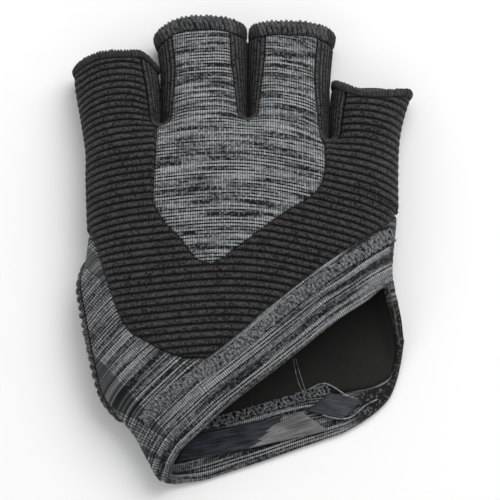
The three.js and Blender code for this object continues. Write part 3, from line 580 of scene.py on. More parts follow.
# The sewing: one short strand is modelled once, then bent along each path.
def strand_shape(sides, parts):
    bpy.ops.mesh.primitive_cylinder_add(vertices=sides, radius=1, depth=1, end_fill_type="NGON")
    strand = bpy.context.object
    bpy.ops.object.mode_set(mode="EDIT")
    for i in range(1, parts):
        bpy.ops.mesh.select_all(action="SELECT")
        bpy.ops.mesh.bisect(plane_co=(0, 0, i / parts - 0.5), plane_no=(0, 0, 1))
    bpy.ops.object.mode_set(mode="OBJECT")
    mesh = strand.data
    points = np.array([v.co[:] for v in mesh.vertices])
    faces = [tuple(p.vertices) for p in mesh.polygons]
    bpy.data.objects.remove(strand)
    return points, faces


STRAND_PARTS = 5
STRAND_POINTS = STRAND_PARTS + 1
STRAND_FLATNESS = 0.8
STRAND, STRAND_FACES = strand_shape(5, STRAND_PARTS)


def stitched(name, paths, outwards, radii, material):
    """Copies of the strand along paths. paths is copies by 6 by 3, outwards the cloth's direction there."""
    paths, outwards, radii = np.asarray(paths), np.asarray(outwards), np.asarray(radii)
    at = np.rint((STRAND[:, 2] + 0.5) * STRAND_PARTS).astype(int)
    tangent = np.gradient(paths, axis=1)
    tangent /= np.maximum(np.linalg.norm(tangent, axis=2, keepdims=True), 1e-12)
    sideways = np.cross(tangent, outwards)
    sideways /= np.maximum(np.linalg.norm(sideways, axis=2, keepdims=True), 1e-12)
    outward = np.cross(sideways, tangent)
    taper = np.array([0.55, 0.95, 1.0, 1.0, 0.95, 0.55])[at]
    width = radii[:, None] * taper[None]
    points = (paths[:, at] + sideways[:, at] * (STRAND[:, 0] * width)[..., None]
              + outward[:, at] * (STRAND[:, 1] * width * STRAND_FLATNESS)[..., None])
    count = len(STRAND)
    faces = [tuple(v + k * count for v in face) for k in range(len(paths)) for face in STRAND_FACES]
    mesh = bpy.data.meshes.new(name)
    mesh.from_pydata((points.reshape(-1, 3) + np.array(origin)).tolist(), [], faces)
    piece = bpy.data.objects.new(name, mesh)
    bpy.context.scene.collection.objects.link(piece)
    select_only(piece)
    bpy.ops.object.mode_set(mode="EDIT")
    bpy.ops.mesh.select_all(action="SELECT")
    bpy.ops.mesh.normals_make_consistent(inside=False)
    bpy.ops.object.mode_set(mode="OBJECT")
    finish_piece(piece, material)
    return piece


def smooth_path(points):
    points = np.asarray(points, float)
    keys = np.arange(len(points), dtype=float)
    fine = np.linspace(0, len(points) - 1, STRAND_POINTS)
    return np.stack([smooth_value(keys, points[:, k], fine) for k in range(3)], 1)


# Shader nodes.
def put(tree, socket, value):
    if isinstance(value, bpy.types.NodeSocket):
        tree.links.new(value, socket)
    elif value is not None:
        socket.default_value = value


def node(tree, kind, inputs=(), **settings):
    made = tree.nodes.new(kind)
    for name, value in settings.items():
        setattr(made, name, value)
    for name, value in dict(inputs).items():
        put(tree, made.inputs[name], value)
    return made


def calc(tree, operation, *values):
    made = tree.nodes.new("ShaderNodeMath")
    made.operation = operation
    for socket, value in zip(made.inputs, values):
        put(tree, socket, value)
    return made.outputs[0]


def blend_colour(tree, factor, a, b, mode="MIX"):
    made = tree.nodes.new("ShaderNodeMix")
    made.data_type = "RGBA"
    made.blend_type = mode
    put(tree, made.inputs[0], factor)
    put(tree, made.inputs[6], a)
    put(tree, made.inputs[7], b)
    return made.outputs[2]


def ranged(tree, value, from_low, from_high, to_low=0.0, to_high=1.0, **settings):
    names = ["Value", "From Min", "From Max", "To Min", "To Max"]
    inputs = zip(names, [value, from_low, from_high, to_low, to_high])
    return node(tree, "ShaderNodeMapRange", inputs, **settings).outputs[0]


def grey(value, tint=(0, 0, 0)):
    """A colour from its 0 to 255 screen value."""
    channels = [min(1.0, (value + t) / 255) for t in tint]
    return (*[c / 12.92 if c < 0.04045 else ((c + 0.055) / 1.055) ** 2.4 for c in channels], 1)


def new_group(name, inputs, outputs):
    tree = bpy.data.node_groups.new(name, "ShaderNodeTree")
    for label, kind, value in inputs:
        socket = tree.interface.new_socket(label, in_out="INPUT", socket_type=kind)
        if value is not None:
            socket.default_value = value
    for label in outputs:
        tree.interface.new_socket(label, in_out="OUTPUT", socket_type="NodeSocketFloat")
    return tree, tree.nodes.new("NodeGroupInput").outputs, tree.nodes.new("NodeGroupOutput").inputs


def knit_group():
    """Columns of V-shaped stitches. Place in mm; Wale and Course are the stitch's width and height in mm."""
    tree, given, out = new_group("knit_stitches", [
        ("Place", "NodeSocketVector", None), ("Wale", "NodeSocketFloat", 0.66),
        ("Course", "NodeSocketFloat", 0.6), ("Wander", "NodeSocketFloat", 0.15),
        ("Lean", "NodeSocketFloat", 0.42), ("Round", "NodeSocketFloat", 2.2)], ["Height", "Speck"])
    wobble = node(tree, "ShaderNodeTexNoise", {"Vector": given["Place"], "Scale": 0.35, "Detail": 2.0})
    shift = calc(tree, "MULTIPLY", calc(tree, "SUBTRACT", wobble.outputs[0], 0.5), given["Wander"])
    parts = node(tree, "ShaderNodeSeparateXYZ", {0: given["Place"]}).outputs
    wales = calc(tree, "DIVIDE", parts[0], given["Wale"])
    column = calc(tree, "ADD", wales, calc(tree, "MULTIPLY", shift, 4.0))
    from_middle = calc(tree, "ABSOLUTE", calc(tree, "SUBTRACT", calc(tree, "FRACT", column), 0.5))
    side = calc(tree, "MULTIPLY", from_middle, 2.0)
    courses = calc(tree, "DIVIDE", parts[1], given["Course"])
    course = calc(tree, "ADD", courses, calc(tree, "MULTIPLY", shift, 6.0))
    lean = calc(tree, "ADD", course, calc(tree, "MULTIPLY", side, given["Lean"]))
    wave = calc(tree, "COSINE", calc(tree, "MULTIPLY", lean, 2 * math.pi))
    loop = calc(tree, "MULTIPLY_ADD", wave, 0.28, 0.72)
    rounded = calc(tree, "SUBTRACT", 1.0, calc(tree, "POWER", side, given["Round"]))
    tree.links.new(calc(tree, "MULTIPLY", rounded, loop), out["Height"])
    stitch = node(tree, "ShaderNodeCombineXYZ", {
        0: calc(tree, "FLOOR", column), 1: calc(tree, "FLOOR", lean)})
    speck = node(tree, "ShaderNodeTexWhiteNoise", {"Vector": stitch.outputs[0]}, noise_dimensions="2D")
    tree.links.new(calc(tree, "SUBTRACT", speck.outputs[0], 0.5), out["Speck"])
    return tree


def dye_group():
    """Yarn dyed light and dark in turn, in long streaks. Light is 0 in dark yarn and 1 in light."""
    tree, given, out = new_group("space_dye", [
        ("Place", "NodeSocketVector", None), ("Streak", "NodeSocketFloat", 12.0),
        ("Row", "NodeSocketFloat", 0.62), ("Spread", "NodeSocketFloat", 0.35),
        ("Balance", "NodeSocketFloat", 0.5), ("Sharpness", "NodeSocketFloat", 7.0)], ["Light"])
    parts = node(tree, "ShaderNodeSeparateXYZ", {0: given["Place"]}).outputs
    row = calc(tree, "FLOOR", calc(tree, "DIVIDE", parts[1], given["Row"]))
    along = calc(tree, "DIVIDE", parts[0], given["Streak"])
    jump = node(tree, "ShaderNodeTexWhiteNoise", {"W": row}, noise_dimensions="1D").outputs[0]
    place = node(tree, "ShaderNodeCombineXYZ", {
        0: calc(tree, "MULTIPLY_ADD", jump, 1.7, along), 1: calc(tree, "MULTIPLY", row, given["Spread"]),
        2: calc(tree, "MULTIPLY", jump, 0.5)}).outputs[0]
    tone = node(tree, "ShaderNodeTexNoise", {"Vector": place, "Scale": 1.0, "Detail": 2.0, "Roughness": 0.4})
    slow = node(tree, "ShaderNodeTexNoise", {
        "Vector": given["Place"], "Scale": 0.11, "Detail": 1.0}).outputs[0]
    shift = calc(tree, "SUBTRACT", calc(tree, "MULTIPLY_ADD", slow, 0.12, tone.outputs[0]), 0.06)
    every_other = calc(tree, "SUBTRACT", calc(tree, "PINGPONG", row, 1.0), 0.5)
    shift = calc(tree, "MULTIPLY_ADD", every_other, 0.13, shift)
    rough = calc(tree, "MULTIPLY", calc(tree, "SUBTRACT", shift, given["Balance"]), given["Sharpness"])
    light = calc(tree, "ADD", rough, 0.5)
    light = calc(tree, "MAXIMUM", calc(tree, "MINIMUM", light, 1.0), 0.0)
    tree.links.new(light, out["Light"])
    return tree


def fuzz_group():
    """Fine fibres and slow patches, on the object's own place in metres."""
    tree, given, out = new_group("fibre_fuzz", [
        ("Grain", "NodeSocketFloat", 2600.0), ("Patch", "NodeSocketFloat", 120.0)], ["Grain", "Patch"])
    place = node(tree, "ShaderNodeTexCoord").outputs["Object"]
    for label in ("Grain", "Patch"):
        made = node(tree, "ShaderNodeTexNoise", {"Vector": place, "Scale": given[label], "Detail": 3.0})
        tree.links.new(made.outputs[0], out[label])
    return tree


KNIT, DYE, FUZZ = knit_group(), dye_group(), fuzz_group()


def fabric(name, roughness=0.92, sheen=0.06):
    material = bpy.data.materials.new(name)
    material.use_nodes = True
    tree = material.node_tree
    shader = tree.nodes["Principled BSDF"]
    shader.inputs["Roughness"].default_value = roughness
    shader.inputs["Specular IOR Level"].default_value = 0.16
    shader.inputs["Sheen Weight"].default_value = sheen
    shader.inputs["Sheen Roughness"].default_value = 0.6
    return material, tree, shader


def uv_place(tree):
    return node(tree, "ShaderNodeUVMap").outputs[0]


# The mesh's dark share: real dark fringe on the band, painted shade elsewhere.
def fringe_and_shade_share(tree):
    return node(tree, "ShaderNodeAttribute", attribute_name="fringe_and_shade_share").outputs["Fac"]


def group_node(tree, group, **inputs):
    made = tree.nodes.new("ShaderNodeGroup")
    made.node_tree = group
    for name, value in inputs.items():
        put(tree, made.inputs[name], value)
    return made.outputs


def bumped(tree, shader, height, strength, distance):
    made = node(tree, "ShaderNodeBump", {"Strength": strength, "Distance": distance, "Height": height})
    tree.links.new(made.outputs[0], shader.inputs["Normal"])


def plain_knit(name, low, high, tint, wale, course, depth, pitch=0.0, valley_shade=0.42, shade_grey=5, speck=0.34):
    """One-colour knit: stitches, fuzz and slow patches. Ribs of that pitch in mm get painted shade in their
    valleys, and the mesh's dark share blends in the same shade grey.
    """
    material, tree, shader = fabric(name)
    place = uv_place(tree)
    knit = group_node(tree, KNIT, Place=place, Wale=wale, Course=course)
    stitches = knit["Height"]
    fuzz = group_node(tree, FUZZ, Grain=1800.0)
    # Painted shade: the tone is lighter on the stitch crowns and darker between stitches; the fuzz grain,
    # patches and specks are the yarn's own tone.
    tone = calc(tree, "MULTIPLY_ADD", stitches, 0.45, calc(tree, "MULTIPLY", fuzz["Grain"], 1.3))
    tone = calc(tree, "MULTIPLY_ADD", calc(tree, "SUBTRACT", fuzz["Patch"], 0.5), 0.35, tone)
    tone = calc(tree, "MULTIPLY_ADD", knit["Speck"], speck, tone)
    factor = ranged(tree, tone, 0.66, 1.0)
    colour = blend_colour(tree, factor, grey(low, tint), grey(high, tint))
    # Painted shade: the grooves between ribs, or between chain columns when the pitch is negative, fade to
    # the shade grey.
    if pitch:
        up = node(tree, "ShaderNodeSeparateXYZ", {0: place}).outputs[1 if pitch > 0 else 0]
        phase = calc(tree, "FRACT", calc(tree, "DIVIDE", up, abs(pitch)))
        near = calc(tree, "MINIMUM", phase, calc(tree, "SUBTRACT", 1.0, phase))
        near = calc(tree, "MULTIPLY_ADD", calc(tree, "SUBTRACT", fuzz["Grain"], 0.5), 0.12, near)
        unshaded_share = ranged(tree, near, 0.02, valley_shade, interpolation_type="SMOOTHSTEP")
        colour = blend_colour(tree, unshaded_share, grey(shade_grey, tint), colour)
    # Painted shade where the mesh's dark share is set, such as the gusset's valleys between the fingers.
    colour = blend_colour(tree, fringe_and_shade_share(tree), colour, grey(shade_grey, tint))
    tree.links.new(colour, shader.inputs["Base Color"])
    height = calc(tree, "MULTIPLY_ADD", fuzz["Grain"], 0.5, stitches)
    bumped(tree, shader, height, 0.8, depth)
    return material


def heather_colour(tree, place, dark, light, tint, streak, row, spread, balance, wale, course, sharpness,
                   lean, speck):
    knit = group_node(tree, KNIT, Place=place, Wale=wale, Course=course, Lean=lean, Round=1.2)
    stitches = knit["Height"]
    dyed = group_node(tree, DYE, Place=place, Streak=streak, Row=row, Spread=spread,
                      Balance=balance, Sharpness=sharpness)["Light"]
    fuzz = group_node(tree, FUZZ)
    dyed = calc(tree, "MULTIPLY_ADD", knit["Speck"], speck, dyed)
    yarn = blend_colour(tree, dyed, grey(dark, tint), grey(light, tint))
    shade = ranged(tree, calc(tree, "MULTIPLY_ADD", fuzz["Grain"], 0.4, stitches), 0.2, 1.05, 0.1, 1.0)
    colour = blend_colour(tree, 1.0, yarn, shade, "MULTIPLY")
    height = calc(tree, "MULTIPLY_ADD", fuzz["Grain"], 0.3, stitches)
    return colour, height


def heather_knit(name, depth, **yarn):
    """Space-dyed knit: light and dark yarn in streaks, broken into stitches."""
    material, tree, shader = fabric(name)
    colour, height = heather_colour(tree, uv_place(tree), **yarn)
    tree.links.new(colour, shader.inputs["Base Color"])
    bumped(tree, shader, height, 0.9, depth)
    return material


def band_knit(name, depth, **yarn):
    """The same knit in stripes along the band. Its dark share attribute gives the dark fringed end, and a
    painted shadow line along the seam where the ribbed panel's edge lies over the band.
    """
    material, tree, shader = fabric(name)
    colour, height = heather_colour(tree, uv_place(tree), **yarn)
    place = node(tree, "ShaderNodeTexCoord").outputs["Object"]
    specks = node(tree, "ShaderNodeTexNoise", {"Vector": place, "Scale": 1100.0, "Detail": 1.0}).outputs[0]
    # One speckled dark for the real fringe and for the painted shadow along the seam.
    fringe_and_shadow_dark = blend_colour(tree, ranged(tree, specks, 0.55, 0.7), grey(26), grey(96, (0, 1, 2)))
    tree.links.new(blend_colour(tree, fringe_and_shade_share(tree), colour, fringe_and_shadow_dark), shader.inputs["Base Color"])
    bumped(tree, shader, height, 0.9, depth)
    return material


def thread(name, dark, light, tint, patch=700.0):
    """Twisted sewing thread in mixed tones."""
    material, tree, shader = fabric(name, roughness=0.75, sheen=0.2)
    fuzz = group_node(tree, FUZZ, Grain=4200.0, Patch=patch)
    tone = ranged(tree, calc(tree, "MULTIPLY_ADD", fuzz["Grain"], 0.35, fuzz["Patch"]), 0.5, 0.86)
    tree.links.new(blend_colour(tree, tone, grey(dark, tint), grey(light, tint)), shader.inputs["Base Color"])
    bumped(tree, shader, fuzz["Grain"], 0.6, 0.0001)
    return material


def foam_cloth(name):
    material, tree, shader = fabric(name, roughness=0.8, sheen=0.05)
    fuzz = group_node(tree, FUZZ, Grain=1500.0, Patch=60.0)
    tone = calc(tree, "MULTIPLY_ADD", fuzz["Patch"], 0.6, calc(tree, "MULTIPLY", fuzz["Grain"], 0.4))
    colour = blend_colour(tree, ranged(tree, tone, 0.3, 0.7), grey(24), grey(36, (1, 0, -1)))
    tree.links.new(colour, shader.inputs["Base Color"])
    bumped(tree, shader, fuzz["Grain"], 0.5, 0.00012)
    return material


def satin(name, dark, light, tint):
    material, tree, shader = fabric(name, roughness=0.38, sheen=0.0)
    place = uv_place(tree)
    fuzz = group_node(tree, FUZZ, Grain=900.0, Patch=180.0)
    lines = node(tree, "ShaderNodeTexWave", {"Vector": place, "Scale": 0.9, "Distortion": 0.6},
                 bands_direction="Y")
    drawn_out = node(tree, "ShaderNodeMapping", {"Vector": place, "Scale": (0.12, 1.3, 1)}).outputs[0]
    # Painted sheen: streaks drawn out along the label lighten its colour, over slow patches of real tone.
    sheen_streaks = node(tree, "ShaderNodeTexNoise", {"Vector": drawn_out, "Scale": 1.0, "Detail": 4.0})
    tone = calc(tree, "MULTIPLY_ADD", fuzz["Patch"], 0.4, calc(tree, "MULTIPLY", sheen_streaks.outputs[0], 0.6))
    tone = ranged(tree, tone, 0.4, 0.66)
    colour = blend_colour(tree, tone, grey(dark, tint), grey(light, tint))
    tree.links.new(colour, shader.inputs["Base Color"])
    bumped(tree, shader, lines.outputs[1], 0.4, 0.00008)
    return material


def make_materials():
    insert = dict(dark=26, light=208, tint=(-4, 1, 4), streak=15.0, row=0.5, spread=2.37, balance=0.54,
                  wale=0.68, course=0.5, sharpness=3.6, lean=0.12, speck=0.5)
    band = dict(dark=28, light=202, tint=(-3, 1, 3), streak=34.0, row=0.46, spread=2.37, balance=0.55,
                wale=0.62, course=0.46, sharpness=3.7, lean=0.15, speck=0.4)
    return {
        "rib": plain_knit("black_rib_knit", 12, 70, (0, 0, 1), 0.58, 0.5, 0.00016, rib_pitch / mm,
                          speck=0.42),
        "gusset": plain_knit("black_gusset_knit", 14, 88, (0, 0, 0), 0.8, 0.62, 0.00025, -1.55, 0.48, 8),
        "insert": heather_knit("heather_insert_knit", 0.0002, **insert),
        "band": band_knit("striped_band_knit", 0.0002, **band),
        "foam": foam_cloth("black_foam_cloth"),
        "core": thread("dark_rim_core", 20, 44, (0, 0, 1)),
        "grey_thread": thread("grey_overlock_thread", 14, 92, (0, 1, 3), 1100.0),
        "band_thread": thread("mixed_overlock_thread", 4, 134, (-2, 1, 3), 1300.0),
        "rim_thread": thread("thumb_rim_thread", 20, 100, (0, 0, 1), 1100.0),
        "black_thread": thread("black_overlock_thread", 18, 50, (2, 0, 0)),
        "pale_thread": thread("pale_seam_thread", 84, 160, (0, 0, 2)),
        "brown_thread": thread("brown_edge_thread", 34, 84, (12, 3, -8)),
        "navy": satin("navy_satin", 24, 74, (-1, 0, 8)),
        "pale": satin("pale_satin", 78, 140, (1, 0, 1)),
    }


MATERIALS = make_materials()


# The panels.
def signed_crossing(start, end, margin):
    """Where margin first falls to zero on the way from start to end."""
    x = np.linspace(start, end, 241)
    value = margin(x)
    below = np.nonzero(value <= 0)[0]
    if len(below) == 0:
        return end
    i = below[0]
    if i == 0:
        return start
    return x[i - 1] + (x[i] - x[i - 1]) * value[i - 1] / (value[i - 1] - value[i])


RIB_PHASES = np.array([0.0, 0.055, 0.12, 0.22, 0.5, 0.78, 0.88, 0.945])


def rib_profile(phase):
    """0 in the groove, 1 on the rib."""
    near = np.minimum(phase, 1 - phase)
    flank = np.sqrt(np.clip(1 - (1 - np.minimum(near / 0.36, 1)) ** 2, 0, 1))
    return flank * 0.8 + 0.2 * np.sin(np.pi * phase)


def ribbed_back():
    tip_x = INSERT[0, 1:].mean() * half_width
    tip_y = tall(INSERT[0, 0]) - 0.1 * mm
    columns = 44
    spread = np.linspace(0, 1, columns)
    grids = []
    for side, finger in (("left", 0), ("right", 3)):
        out = -1 if side == "left" else 1
        rows, uvs = [], []

        def one_row(line, raise_by, level):
            def inside(x):
                y = line(x, 1)
                beyond = x - form_at("left", y) if side == "left" else form_at("right", y) - x
                return np.minimum(beyond, y - v_y(x))

            def panel(x):
                y = line(x, 1)
                gap = panel_edge("left", y) - x if side == "left" else x - panel_edge("right", y)
                return np.maximum(tip_y - y, gap)

            x_start = signed_crossing(tip_x, out * half_width * 1.3, inside)
            y_start = line(np.array([x_start]), 1)[0]
            x_inner = signed_crossing(x_start - out * 0.5 * mm, tip_x, panel)
            inner = tip_x if abs(x_inner - tip_x) < 0.3 * mm else x_inner
            tucked = y_start <= v_y(x_start) + 0.4 * mm
            if tucked:
                x = mixed(x_start, inner, spread)
                tuck = min(edge_tuck, 0.35 * abs(float(form_at(side, y_start)) - x_start))
                x[:2] = x_start + out * tuck, x_start
                y, face = line(x, 1), np.ones(columns)
            else:
                inner_y = line(np.array([inner]), 1)
                end = around_of(inner_y, np.abs(form_at(side, inner_y) - inner))[0]
                around = mixed(-side_seam_depth, end, spread)
                face = np.where(around < 0, -1, 1)
                x, y = np.full(columns, inner), np.full(columns, y_start)
                for _ in range(8):
                    x = form_at(side, y) - out * inset_of(y, around)
                    x[-1] = inner
                    y = mixed(y, line(x, face), 0.7)
                y = line(x, face)
            point, normal = surface(x, y, face)
            fade = eased(np.abs(x - inner) / (1.1 * mm)) if inner != tip_x else np.ones(columns)
            lift = raise_by(x, y, face) * fade - 0.35 * mm * (1 - fade)
            if tucked:
                lift[:2] = -1.1 * tuck, -0.25 * min(tuck, mm)
            rows.append((point + normal * lift[:, None], normal))
            # The up coordinate is set so that the material's painted groove shade lies in the rib grooves.
            rib_place = (level - top_level) / mm + rib_pitch / mm / 2
            uvs.append(np.stack([x / mm, np.full(columns, rib_place)], 1))

        def hem(x, face):
            return hem_line(finger, x, face)

        top_level = float(tall(1.7))
        across = np.linspace(*[float(v) for v in finger_edges(finger, tall(1.2))], 40)
        highest = float((hem(across, 1) + rib_drop(across, hem(across, 1))).max())
        first = math.floor((top_level - highest) / rib_pitch) * 8 - 8
        for k in range(first, 2000):
            phase = RIB_PHASES[k % 8]
            turn = (k // 8) + phase - 0.5
            level = top_level - turn * rib_pitch
            if level > highest + 0.02 * mm:
                continue
            if level < v_y(tip_x) + 0.5 * mm:
                break
            profile = float(rib_profile(phase))

            def line(x, face, level=level):
                return np.minimum(rib_y(level, x), hem(x, face))

            def lift(x, y, face, profile=profile):
                to_hem = eased((hem(x, face) - y) / (1.0 * mm))
                to_seam = eased((y - v_y(x)) / (1.6 * mm))
                return (rib_depth * (profile - 0.5)) * to_hem * np.where(face > 0, to_seam, 1)

            one_row(line, lift, level)
        last_x = rows[-1][0][:, 0]
        point, normal = surface(last_x, v_y(last_x), 1)
        rows.append((point - normal * 0.35 * mm, normal))
        uvs.append(np.stack([last_x / mm, uvs[-1][:, 1] - 0.4], 1))
        point, normal = surface(last_x, v_y(last_x) - 1.5 * mm, 1)
        rows.append((point - normal * 1.0 * mm, normal))
        uvs.append(uvs[-1] - (0, 0.1))
        grids.append((*stacked(rows), np.stack(uvs)))
    return cloth("ribbed_back", grids, knit_wall, 0.9 * mm, MATERIALS["rib"], "back_panel")


def heather_insert():
    centre = SLITS[1][0] * half_width
    root = tall(SLITS[1][1])
    joined = float(root - gusset_reach(1, root) - slit_gap - panel_gap)
    columns = 34
    spread = 0.5 - 0.5 * np.cos(np.linspace(0, math.pi, columns))
    spread = mixed(np.linspace(0, 1, columns), spread, 0.5)
    grids = []
    for side, finger in (("left", 1), ("right", 2)):
        rows = []
        low = tall(INSERT[0, 0])
        top = float(tall(RIMS[finger][0]) - long_hem)
        levels = np.concatenate([np.linspace(low, low + 6 * mm, 16)[:-1],
                                 np.linspace(low + 6 * mm, joined, 40)[:-1], np.linspace(joined, top, 39)])
        for y in levels:
            outer = float(insert_edge(side, y))
            inner = min(max(centre, float(insert_edge("left", y))), float(insert_edge("right", y)))
            if y > joined:
                inner = float(slot_edge(1, side, y, gusset_reach(1, y) + panel_gap, centre))
            x = mixed(outer, inner, spread)
            real_y = np.minimum(y, hem_line(finger, x, 1))
            point, normal = surface(x, real_y, 1)
            uv = np.stack([x, real_y + rib_drop(x, real_y)], 1) * per_metre
            rows.append((point, normal, uv))
        grids.append(stacked(rows))
    piece_grids = [(p + 0.12 * mm * n, n, uv) for p, n, uv in grids]
    return cloth("heather_insert", piece_grids, knit_wall, 1.1 * mm, MATERIALS["insert"],
                 "back_insert")


def developed(hand, x, y):
    edge = form_at(hand, y)
    return around_of(y, x - edge if hand == "left" else edge - x)


def hole_edge(y, side, margin):
    t = (y - tall(HOLE_AT)) / (hole_length / 2 + margin)
    depth = (hole_back_depth if side > 0 else hole_palm_depth) + margin
    return -side_seam_depth + side * depth * math.sqrt(max(0, 1 - t * t))


def band_strip():
    """Coarse grid of the band from its seam to its fold, then the palm strip below it."""
    rows = []
    drop = side_seam_depth

    def add(hand, v, r):
        y = mixed(v[1], r[1], STRIP)
        rows.append(side_point(hand, y, mixed(v[0], r[0], STRIP)))

    add("right", (-drop, tall(RIGHT_END)), (-drop, tall(RIM_RIGHT_END)))
    add("right", (1 * mm, tall(RIGHT_SIDE)), (1 * mm, tall(RIM_RIGHT_SIDE)))
    for vx, vat, rx, rat in BAND:
        v, r = (vx * half_width, float(tall(vat))), (rx * half_width, float(tall(rat)))
        if vx > 0.3:
            add("right", (developed("right", *v), v[1]), (developed("right", *r), r[1]))
        else:
            rows.append(surface(mixed(v[0], r[0], STRIP), mixed(v[1], r[1], STRIP), 1))
    for vx, vat, side, part in CUFF:
        v, y = (vx * half_width, float(tall(vat))), float(tall(side))
        u = hole_edge(y, 1, thumb_hem_width + 0.1 * mm) if part is None else -part * drop
        add("left", (developed("left", *v), v[1]), (u, y))
    above = tall(HOLE_AT) + hole_length / 2 + thumb_hem_width
    add("left", (-drop, tall(LEFT_END)), (-drop, above))
    return stacked(rows)


FOLD_LINE = np.array([(r[2] * half_width, tall(r[3])) for r in BAND]
                     + [(-0.475 * half_width, tall(0.0)), (-0.47 * half_width, tall(-0.12))])


def fold_distance(x, y):
    """Distance in plan from the folded edge of the band, which its stripes follow, and the run along it."""
    fold = np.vstack([FOLD_LINE[0] + (FOLD_LINE[0] - FOLD_LINE[1]) * 0.6, FOLD_LINE])
    start, end = fold[:-1], fold[1:]
    along = end - start
    length = np.hypot(along[:, 0], along[:, 1])
    before = summed(length)[:-1]
    point = np.stack([x.ravel(), y.ravel()], 1)[:, None]
    t = np.clip(((point - start) * along).sum(2) / length ** 2, 0, 1)
    gap = point - (start + along * t[..., None])
    size = np.hypot(gap[..., 0], gap[..., 1])
    best = size.argmin(1)
    row = np.arange(len(best))
    run = before[best] + t[row, best] * length[best]
    return size[row, best].reshape(x.shape), run.reshape(x.shape)


def wrist_band():
    per = BAND_STEPS
    coarse, directions = band_strip()
    shares_keys = STRIP * 24 * mm
    strip, strip_n = refined(coarse, directions, (len(coarse) - 1) * per + 1, (len(STRIP) - 1) * per + 1,
                             column_keys=shares_keys)
    away, run = fold_distance(strip[..., 0], strip[..., 1])
    strip_uv = np.stack([run, away], 2) * per_metre
    ridge = 0.5 - 0.5 * np.cos(2 * math.pi * away / (1.7 * mm))
    place = np.linspace(0, len(coarse) - 1, strip.shape[0])
    ridges_end, ridges_gone = 12, 17
    fading = eased((ridges_gone - place) / (ridges_gone - ridges_end))
    ribbed = np.where(place < ridges_end, 1, fading)[:, None] * eased((13.5 * mm - away) / (2 * mm))
    lift = 0.22 * mm * (ridge - 0.5) * ribbed
    share = np.linspace(0, len(STRIP) - 1, strip.shape[1])
    seam_side = eased(1 - share / 0.5)[None] * 0.3 * mm
    strip = strip + strip_n * (lift - seam_side)[..., None]

    parts, shared = 3, 5
    rows = [(coarse[0, shared:], directions[0, shared:])]
    for x, rim_x, rim, seam in HEEL[::-1]:
        t = np.arange(parts + 1) / parts
        rows.append(surface(mixed(x, rim_x, t) * half_width, mixed(tall(seam), tall(rim), t), -1))
    fold = [2 + len(BAND) + j for j in range(parts, -1, -1)]
    rows.append((coarse[fold, -1], directions[fold, -1]))
    under, under_n = refined(*stacked(rows), (len(rows) - 1) * per + 1, parts * per + 1)
    under[0], under_n[0] = strip[0, shared * per:], strip_n[0, shared * per:]
    first = (2 + len(BAND)) * per
    under[-1] = strip[first:first + parts * per + 1, -1][::-1]
    under_n[-1] = strip_n[first:first + parts * per + 1, -1][::-1]
    under_uv = lengths_uv(under)[..., ::-1].copy()
    under_uv[..., 1] = under_uv[..., 1].max() - under_uv[..., 1]
    fringe = eased((under[..., 0] / half_width - 0.64) / 0.14)
    # Painted shadow: the band's seam edge, under the ribbed panel's edge, is dark; the fringe and turned
    # shares are the band's real dark fringed end.
    seam_shadow = np.broadcast_to(1 - eased(share / 0.18)[None], strip.shape[:2])
    turned = eased((strip[..., 0] / half_width - 0.93) / 0.05)
    turned = turned * eased((tall(0.52) - strip[..., 1]) / (3 * mm))
    grids = [(strip, strip_n, strip_uv, np.maximum(seam_shadow, turned)), (under, under_n, under_uv, fringe)]
    piece = cloth("wrist_band_knit", grids, band_wall, 1.1 * mm, MATERIALS["band"], "wrist_band")
    return piece, (strip[:, -1], strip_n[:, -1], strip[:, -1] - strip[:, -2])


def fold_thread(edge):
    """The brown thread that shows along the underside of the band's folded edge."""
    points, normals, outward = edge
    count = (2 + len(BAND)) * BAND_STEPS
    outward = outward / np.linalg.norm(outward, axis=1, keepdims=True)
    line = points - normals * band_wall * 0.8 - outward * 0.1 * mm
    line, normals = line[:count], normals[:count]
    run = run_along(line)
    paths, outwards, radii = [], [], []
    stitch = 1.6 * mm
    for start in np.arange(0, run[-1] - stitch, 1.1 * mm):
        at = start + np.linspace(0, stitch, STRAND_POINTS)
        path = np.stack([np.interp(at, run, line[:, k]) for k in range(3)], 1)
        facing = np.stack([np.interp(at, run, normals[:, k]) for k in range(3)], 1)
        path[:, 2] += chance.uniform(-0.12, 0.12) * mm
        paths.append(path)
        outwards.append(facing)
        radii.append(0.3 * mm * chance.uniform(0.8, 1.2))
    return stitched("fold_edge_thread", paths, outwards, radii, MATERIALS["brown_thread"])


def heel_seam(x):
    rows = [(r[0] * half_width, float(tall(r[3]))) for r in HEEL[:14]]
    left_y = float(tall(CUFF[3][2]))
    rows.insert(0, (float(form_at("left", left_y) + seam_inset(left_y)), left_y))
    rows = np.array(rows)
    return np.interp(x, rows[:, 0], rows[:, 1]) + 0.3 * mm


def palm_side_x(hand, y):
    if hand == "left":
        hole = np.array([hole_edge(v, -1, thumb_hem_width + 0.2 * mm) for v in y])
        outside = np.abs(y - tall(HOLE_AT)) >= hole_length / 2 + thumb_hem_width
        around = np.where(outside, -side_seam_depth, hole)
        return form_at("left", y) + inset_of(y, around)
    beside = form_at("right", y) - seam_inset(y)
    side_y = float(mixed(tall(RIGHT_END), tall(RIM_RIGHT_END), STRIP[5]))
    rows = [(r[0] * half_width, float(tall(r[3]))) for r in HEEL[13:]]
    rows.append((float(form_at("right", side_y) - seam_inset(side_y)), side_y))
    rows = np.array(rows)
    turned = np.interp(y, rows[:, 1], rows[:, 0]) - 0.1 * mm
    return np.where(y < side_y, np.minimum(beside, turned), beside)


